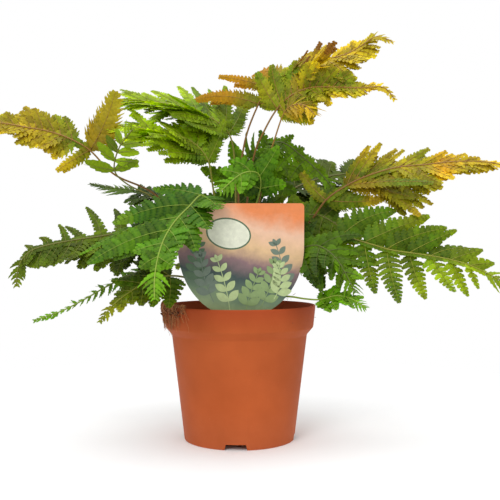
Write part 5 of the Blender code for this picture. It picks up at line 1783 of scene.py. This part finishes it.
def make_pot():
    """The pot, with rounded edges, notches in its foot and holes in its base."""
    floor = BASE_UNDERSIDE + WALL
    profile = rounded((
        (0.0, BASE_UNDERSIDE, 0.0),
        (wall_radius(BASE_UNDERSIDE) - WALL, BASE_UNDERSIDE, 0.0),
        (FOOT_RADIUS - WALL, 0.0, 0.3),
        (FOOT_RADIUS, 0.0, 0.4),
        (BODY_RADIUS, BODY_TOP, 0.8),
        (BAND_RADIUS, BAND_BOTTOM, 0.9),
        (LIP_RADIUS, POT_HEIGHT - LIP_DROP, 0.6),
        (LIP_RADIUS - LIP_EDGE, POT_HEIGHT, 0.25),
        (LIP_RADIUS - WALL, POT_HEIGHT, 0.3),
        (BAND_RADIUS - WALL, BAND_BOTTOM + WALL, 0.8),
        (BODY_RADIUS - WALL, BODY_TOP + WALL, 0.8),
        (wall_radius(floor) - WALL, floor, 1.5),
        (0.0, floor, 0.0),
    ))
    patch = Patch()
    patch.shape(*lathe(profile, POT_FINE_SIDES), WHITE)
    pot = patch.make("plastic_pot", ("moulded",), SHARP_ANGLE)
    first_notch = -math.pi / 2 + NOTCH_TURN
    cutters = [notch_shape(first_notch + 2 * math.pi * k / NOTCH_COUNT) for k in range(NOTCH_COUNT)]
    cutters += [drain_shape(2 * math.pi * (k + 0.5) / DRAIN_COUNT) for k in range(DRAIN_COUNT)]
    cut(pot, *joined(cutters))
    settle(pot, "pot")


def ball_shape():
    """The corners and faces of a ball with 20 faces."""
    ball = bmesh.new()
    bmesh.ops.create_icosphere(ball, subdivisions=1, radius=1.0)
    corners = [corner.co.copy() for corner in ball.verts]
    faces = [tuple(corner.index for corner in face.verts) for face in ball.faces]
    ball.free()
    return corners, faces


BALL = ball_shape()


def add_crumb(patch, centre, size, colour, tones, rng):
    """A small irregular lump of peat."""
    flat = Vector((1.0, 1.0, CRUMB_FLATNESS))
    corners = [centre + corner * flat * (size * rng.uniform(*CRUMB_ROUGHNESS)) for corner in BALL[0]]
    patch.shape(corners, BALL[1], colour * rng.uniform(*tones))


def peat_level(radius, angle):
    """The fine height of the peat, which follows the solid's and adds small lumps."""
    base = soil_level(radius) + soil_lumps(radius, angle, SOIL_TOP)
    place = turn(radius, angle, 0.0) / PEAT_LUMP_SIZE
    edge = min(1.0, (BAND_RADIUS - radius) / PEAT_EDGE)
    return base + PEAT_LUMP * edge * noise.fractal(place, *PEAT_FRACTAL)


def on_peat(radius, angle, proud=0.0):
    return turn(radius, angle, peat_level(radius, angle) + proud)


def scattered(reach, rng):
    """A place by chance within a radius, as its own radius and angle."""
    return reach * math.sqrt(rng.random()), rng.uniform(0, 2 * math.pi)


def add_fibre(patch, reach, rng):
    """A curled fibre that lies on the peat."""
    start = turn(*scattered(reach, rng), 0.0)
    way = rng.uniform(0, 2 * math.pi)
    places = []
    for k in range(FIBRE_STEPS):
        spot = start + turn(FIBRE_STEP * k, way + FIBRE_CURL * k, 0.0)
        radius, angle = Vector((spot.x, spot.y)).length, math.atan2(spot.y, spot.x)
        spot.z = peat_level(radius, angle) + rng.uniform(*FIBRE_HEIGHTS)
        places.append(spot)
    tone = FIBRE_COLOUR * rng.uniform(*FIBRE_TONES)
    patch.tube(places, [FIBRE_RADIUS] * FIBRE_STEPS, [tone] * FIBRE_STEPS, FIBRE_SIDES)


def add_moss(patch, centre, rng):
    """A small cushion of moss: short pointed shoots."""
    for _ in range(MOSS_SHOOTS):
        angle, spread = rng.uniform(0, 2 * math.pi), rng.random()
        root = centre + turn(MOSS_RADIUS * spread, angle, 0.0)
        height = MOSS_HEIGHT * blend(*MOSS_DOME, spread) * rng.uniform(*MOSS_HEIGHTS)
        tip = root + turn(MOSS_TIP_OUT * spread, angle, height)
        side = turn(MOSS_HALF, angle + rng.uniform(0, math.pi), 0.0)
        other = turn(MOSS_HALF, angle + math.pi / 2, 0.0)
        tone = MOSS_COLOUR * rng.uniform(*MOSS_TONES)
        corners = [patch.point(p, tone) for p in (root + side, root + other, root - side, tip)]
        for a, b in ((0, 1), (1, 2), (2, 0)):
            patch.face((corners[a], corners[b], corners[3]), 1)


def make_peat():
    """The plug of peat, with lumps, crumbs, fibres and tufts of moss on its surface."""
    rng = random.Random(PEAT_SEED)
    patch = Patch()
    floor = BASE_UNDERSIDE + WALL + GAP
    inset = WALL + SOIL_PLAY
    rim = wall_radius(soil_level(BAND_RADIUS)) - inset
    profile = [
        (0.0, floor),
        (wall_radius(floor) - inset, floor),
        (BODY_RADIUS - inset, BODY_TOP + WALL),
        (BAND_RADIUS - inset, BAND_BOTTOM + WALL),
        (rim, soil_level(BAND_RADIUS)),
    ]
    profile += [(rim * (1 - k / PEAT_RINGS), SOIL_TOP) for k in range(1, PEAT_RINGS)] + [(0.0, SOIL_TOP)]
    surface = BAND_BOTTOM + 2 * WALL

    def rise(radius, angle, height):
        return peat_level(radius, angle) - height if height > surface else 0.0

    patch.shape(*lathe(profile, PEAT_SIDES, rise), PEAT_COLOUR)
    for _ in range(CRUMBS):
        radius, angle = scattered(rim - CRUMB_MARGIN, rng)
        size = rng.uniform(*CRUMB_SIZES)
        centre = on_peat(radius, angle, size * CRUMB_PROUD)
        add_crumb(patch, centre, size, PEAT_COLOUR, CRUMB_TONES, rng)
    for _ in range(FIBRES):
        add_fibre(patch, rim - FIBRE_MARGIN, rng)
    for _ in range(MOSS_TUFTS):
        add_moss(patch, on_peat(rng.uniform(*MOSS_PLACES) * rim, rng.uniform(0, 2 * math.pi)), rng)
    settle(patch.make("peat_and_moss", ("peat", "moss")), "soil")


def add_root(patch, rng):
    """One dry root, over the rim and down."""
    share = rng.random()
    end = blend(*around_share(TUFT_ENDS, share)) + rng.uniform(*ROOT_ENDS)
    course = tuft_course(min(end, TUFT_COURSE[-1][1] - ROOT_DROP_LEAST), ROOT_DROPS)
    angle = blend(TUFT_START, TUFT_END, share)
    drift = rng.uniform(-ROOT_DRIFT, ROOT_DRIFT)
    pile = rng.uniform(*ROOT_PILE)
    places = []
    for radius, height in course:
        angle += drift + rng.uniform(-ROOT_WANDER, ROOT_WANDER)
        places.append(turn(radius + pile + rng.uniform(*ROOT_STRAY), angle, height + max(0.0, pile)))
    spine = Spine(places)
    shares = [j / ROOT_STEPS for j in range(ROOT_STEPS + 1)]
    thick = rng.uniform(*ROOT_RADII)
    radii = [thick * (1.0 - ROOT_THINS * v) for v in shares]
    tone = ROOT_COLOUR.lerp(ROOT_PALE, rng.random() ** 2) * rng.uniform(*ROOT_TONES)
    patch.tube([spine.at(v)[0] for v in shares], radii, [tone] * len(shares), ROOT_SIDES)


def make_roots():
    """The tuft of dry roots that hangs over the rim, as single fibres with peat between them."""
    rng = random.Random(ROOT_SEED)
    patch = Patch()
    for _ in range(ROOT_FIBRES):
        add_root(patch, rng)
    for _ in range(ROOT_CRUMBS):
        angle = blend(TUFT_START, TUFT_END, rng.random())
        radius, height = rng.choice(TUFT_COURSE[1:])
        fall = rng.random() * ROOT_CRUMB_FALL
        centre = turn(radius + ROOT_CRUMB_OUT, angle, height - fall * (radius > LIP_RADIUS))
        add_crumb(patch, centre, rng.uniform(*ROOT_CRUMB_SIZES), ROOT_PEAT, ROOT_CRUMB_TONES, rng)
    settle(patch.make("root_fibres", ("root",)), "dry_roots")


def label_corner():
    """The label's rounded top corner on its right."""
    corner = []
    for k in range(LABEL_CORNER_STEPS + 1):
        angle = math.pi / 2 * (1 - k / LABEL_CORNER_STEPS)
        corner.append((LABEL_HALF_WIDTH + LABEL_CORNER * (math.cos(angle) - 1),
                       LABEL_TOP + LABEL_CORNER * (math.sin(angle) - 1)))
    return corner


def on_label(x, height, layer):
    """A place on the label's front, some layers of ink above the card."""
    return label_point(x, height) - Vector((0, LABEL_THICKNESS / 2 + INK * layer, 0))


def leaning(x, z, across, along, tilt):
    """A place across and along a line that starts at x, z and leans by tilt from straight up."""
    moved_x = x + across * math.cos(tilt) - along * math.sin(tilt)
    moved_z = z + across * math.sin(tilt) + along * math.cos(tilt)
    return moved_x, moved_z


def print_shape(patch, outline, layer, ink):
    """A flat shape of ink, given by its outline in the label's own plane."""
    corners = [on_label(x, z, layer - 1) for x, z in outline]
    patch.shape(*prism(corners, Vector((0, -INK, 0))), WHITE, LABEL_FINISHES.index(ink))


def print_oval(patch, inset, layer, ink):
    """A plain oval, drawn in by inset."""
    high, wide = OVAL_HIGH - inset, OVAL_WIDE - inset
    places = [(wide * math.cos(angle), high * math.sin(angle)) for angle in around(OVAL_STEPS)]
    outline = [leaning(*OVAL_PLACE, across, along, OVAL_TILT) for across, along in places]
    print_shape(patch, outline, layer, ink)


def leaf_outline(x, z, length, width, tilt):
    """A plain pointed oval leaf that starts at x, z."""
    points = []
    for side in (1, -1):
        for k in range(LEAF_STEPS):
            u = k / LEAF_STEPS if side > 0 else 1 - k / LEAF_STEPS
            half = side * width * math.sin(math.pi * u) ** LEAF_ROUNDNESS
            points.append(leaning(x, z, half, length * u, tilt))
    return points


def print_sprig(patch, foot, tilt, bend, length, ink, layer):
    """A printed sprig: a curved stem with pairs of plain oval leaves, smaller towards its tip."""
    x, z = foot
    step = length / SPRIG_STEPS
    for k in range(SPRIG_STEPS):
        way = tilt + bend * k / SPRIG_STEPS
        sides = ((SPRIG_STEM, 0.0), (SPRIG_STEM, step), (-SPRIG_STEM, step), (-SPRIG_STEM, 0.0))
        print_shape(patch, [leaning(x, z, across, along, way) for across, along in sides], layer, ink)
        x, z = leaning(x, z, 0.0, step, way)
        size = SPRIG_LEAF * (1.0 - SPRIG_NARROWS * k / SPRIG_STEPS)
        for side in (-1, 1):
            outline = leaf_outline(x, z, size, size * SPRIG_LEAF_WIDTH, way + side * SPRIG_LEAF_ANGLE)
            print_shape(patch, outline, layer, ink)
    long, wide = SPRIG_TOP_LEAF
    print_shape(patch, leaf_outline(x, z, SPRIG_LEAF * long, SPRIG_LEAF * wide, tilt + bend), layer, ink)


def make_label():
    """The label: a plastic card on a stake, printed with soft bands, sprigs and a blank oval."""
    patch = Patch()
    shift = Vector((0, LABEL_THICKNESS / 2, 0))
    outline = [label_point(x, z) - shift for x, z in label_outline(LABEL_FINE_STEPS, label_corner())]
    patch.shape(*prism(outline, 2 * shift), WHITE, LABEL_FINISHES.index("card"))
    patch.finishes[0] = LABEL_FINISHES.index("wash")
    print_oval(patch, 0.0, 1, "ink_dark")
    print_oval(patch, OVAL_RIM, 2, "ink_cream")
    for layer, (foot, tilt, bend, length, ink) in enumerate(SPRIGS, start=1):
        print_sprig(patch, foot, math.radians(tilt), math.radians(bend), length, ink, layer)
    settle(patch.make("printed_label", LABEL_FINISHES, SHARP_ANGLE), "label")


def make_camera():
    """The level camera in front of the plant."""
    camera = bpy.data.cameras.new("camera")
    camera.lens = CAMERA_LENS
    camera.sensor_width = CAMERA_SENSOR
    camera.clip_start, camera.clip_end = CAMERA_CLIP
    obj = put_in_scene("camera", camera)
    obj.location = CAMERA_PLACE
    obj.rotation_euler = (math.pi / 2, 0.0, 0.0)
    bpy.context.scene.camera = obj


def make_lights():
    """The soft round lights."""
    for name, place, target, size, power in LIGHTS:
        light = bpy.data.lights.new(name, "AREA")
        light.shape = "DISK"
        light.size = size
        light.energy = power
        obj = put_in_scene(name, light)
        obj.location = place
        obj.rotation_euler = (Vector(target) - Vector(place)).to_track_quat("-Z", "Y").to_euler()


def make_world():
    """The white round the studio, dimmer in what it lights than as it is seen."""
    world = bpy.data.worlds.new("studio")
    world.use_nodes = True
    tree = world.node_tree
    seen = tree.nodes.new("ShaderNodeLightPath").outputs["Is Camera Ray"]
    strength = tree.nodes.new("ShaderNodeMapRange")
    strength.inputs["To Min"].default_value = WORLD_LIGHT
    strength.inputs["To Max"].default_value = WORLD_SEEN
    background = tree.nodes["Background"]
    background.inputs["Color"].default_value = (1.0, 1.0, 1.0, 1.0)
    tree.links.new(seen, strength.inputs["Value"])
    tree.links.new(strength.outputs[0], background.inputs["Strength"])
    bpy.context.scene.world = world
    bpy.context.scene.view_settings.view_transform = "Standard"


def make_floor():
    """The pale round floor."""
    mesh = bpy.data.meshes.new("floor")
    edge = [turn(FLOOR_RADIUS, angle, 0.0) for angle in around(FLOOR_SIDES)]
    mesh.from_pydata(edge, [], [tuple(range(FLOOR_SIDES))])
    mesh.materials.append(finish_of("floor"))
    put_in_scene("floor", mesh)


def main():
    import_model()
    make_camera()
    make_lights()
    make_world()
    make_floor()
    make_pot()
    make_peat()
    make_roots()
    make_label()
    for frond in grow_fronds():
        make_frond(frond)


main()
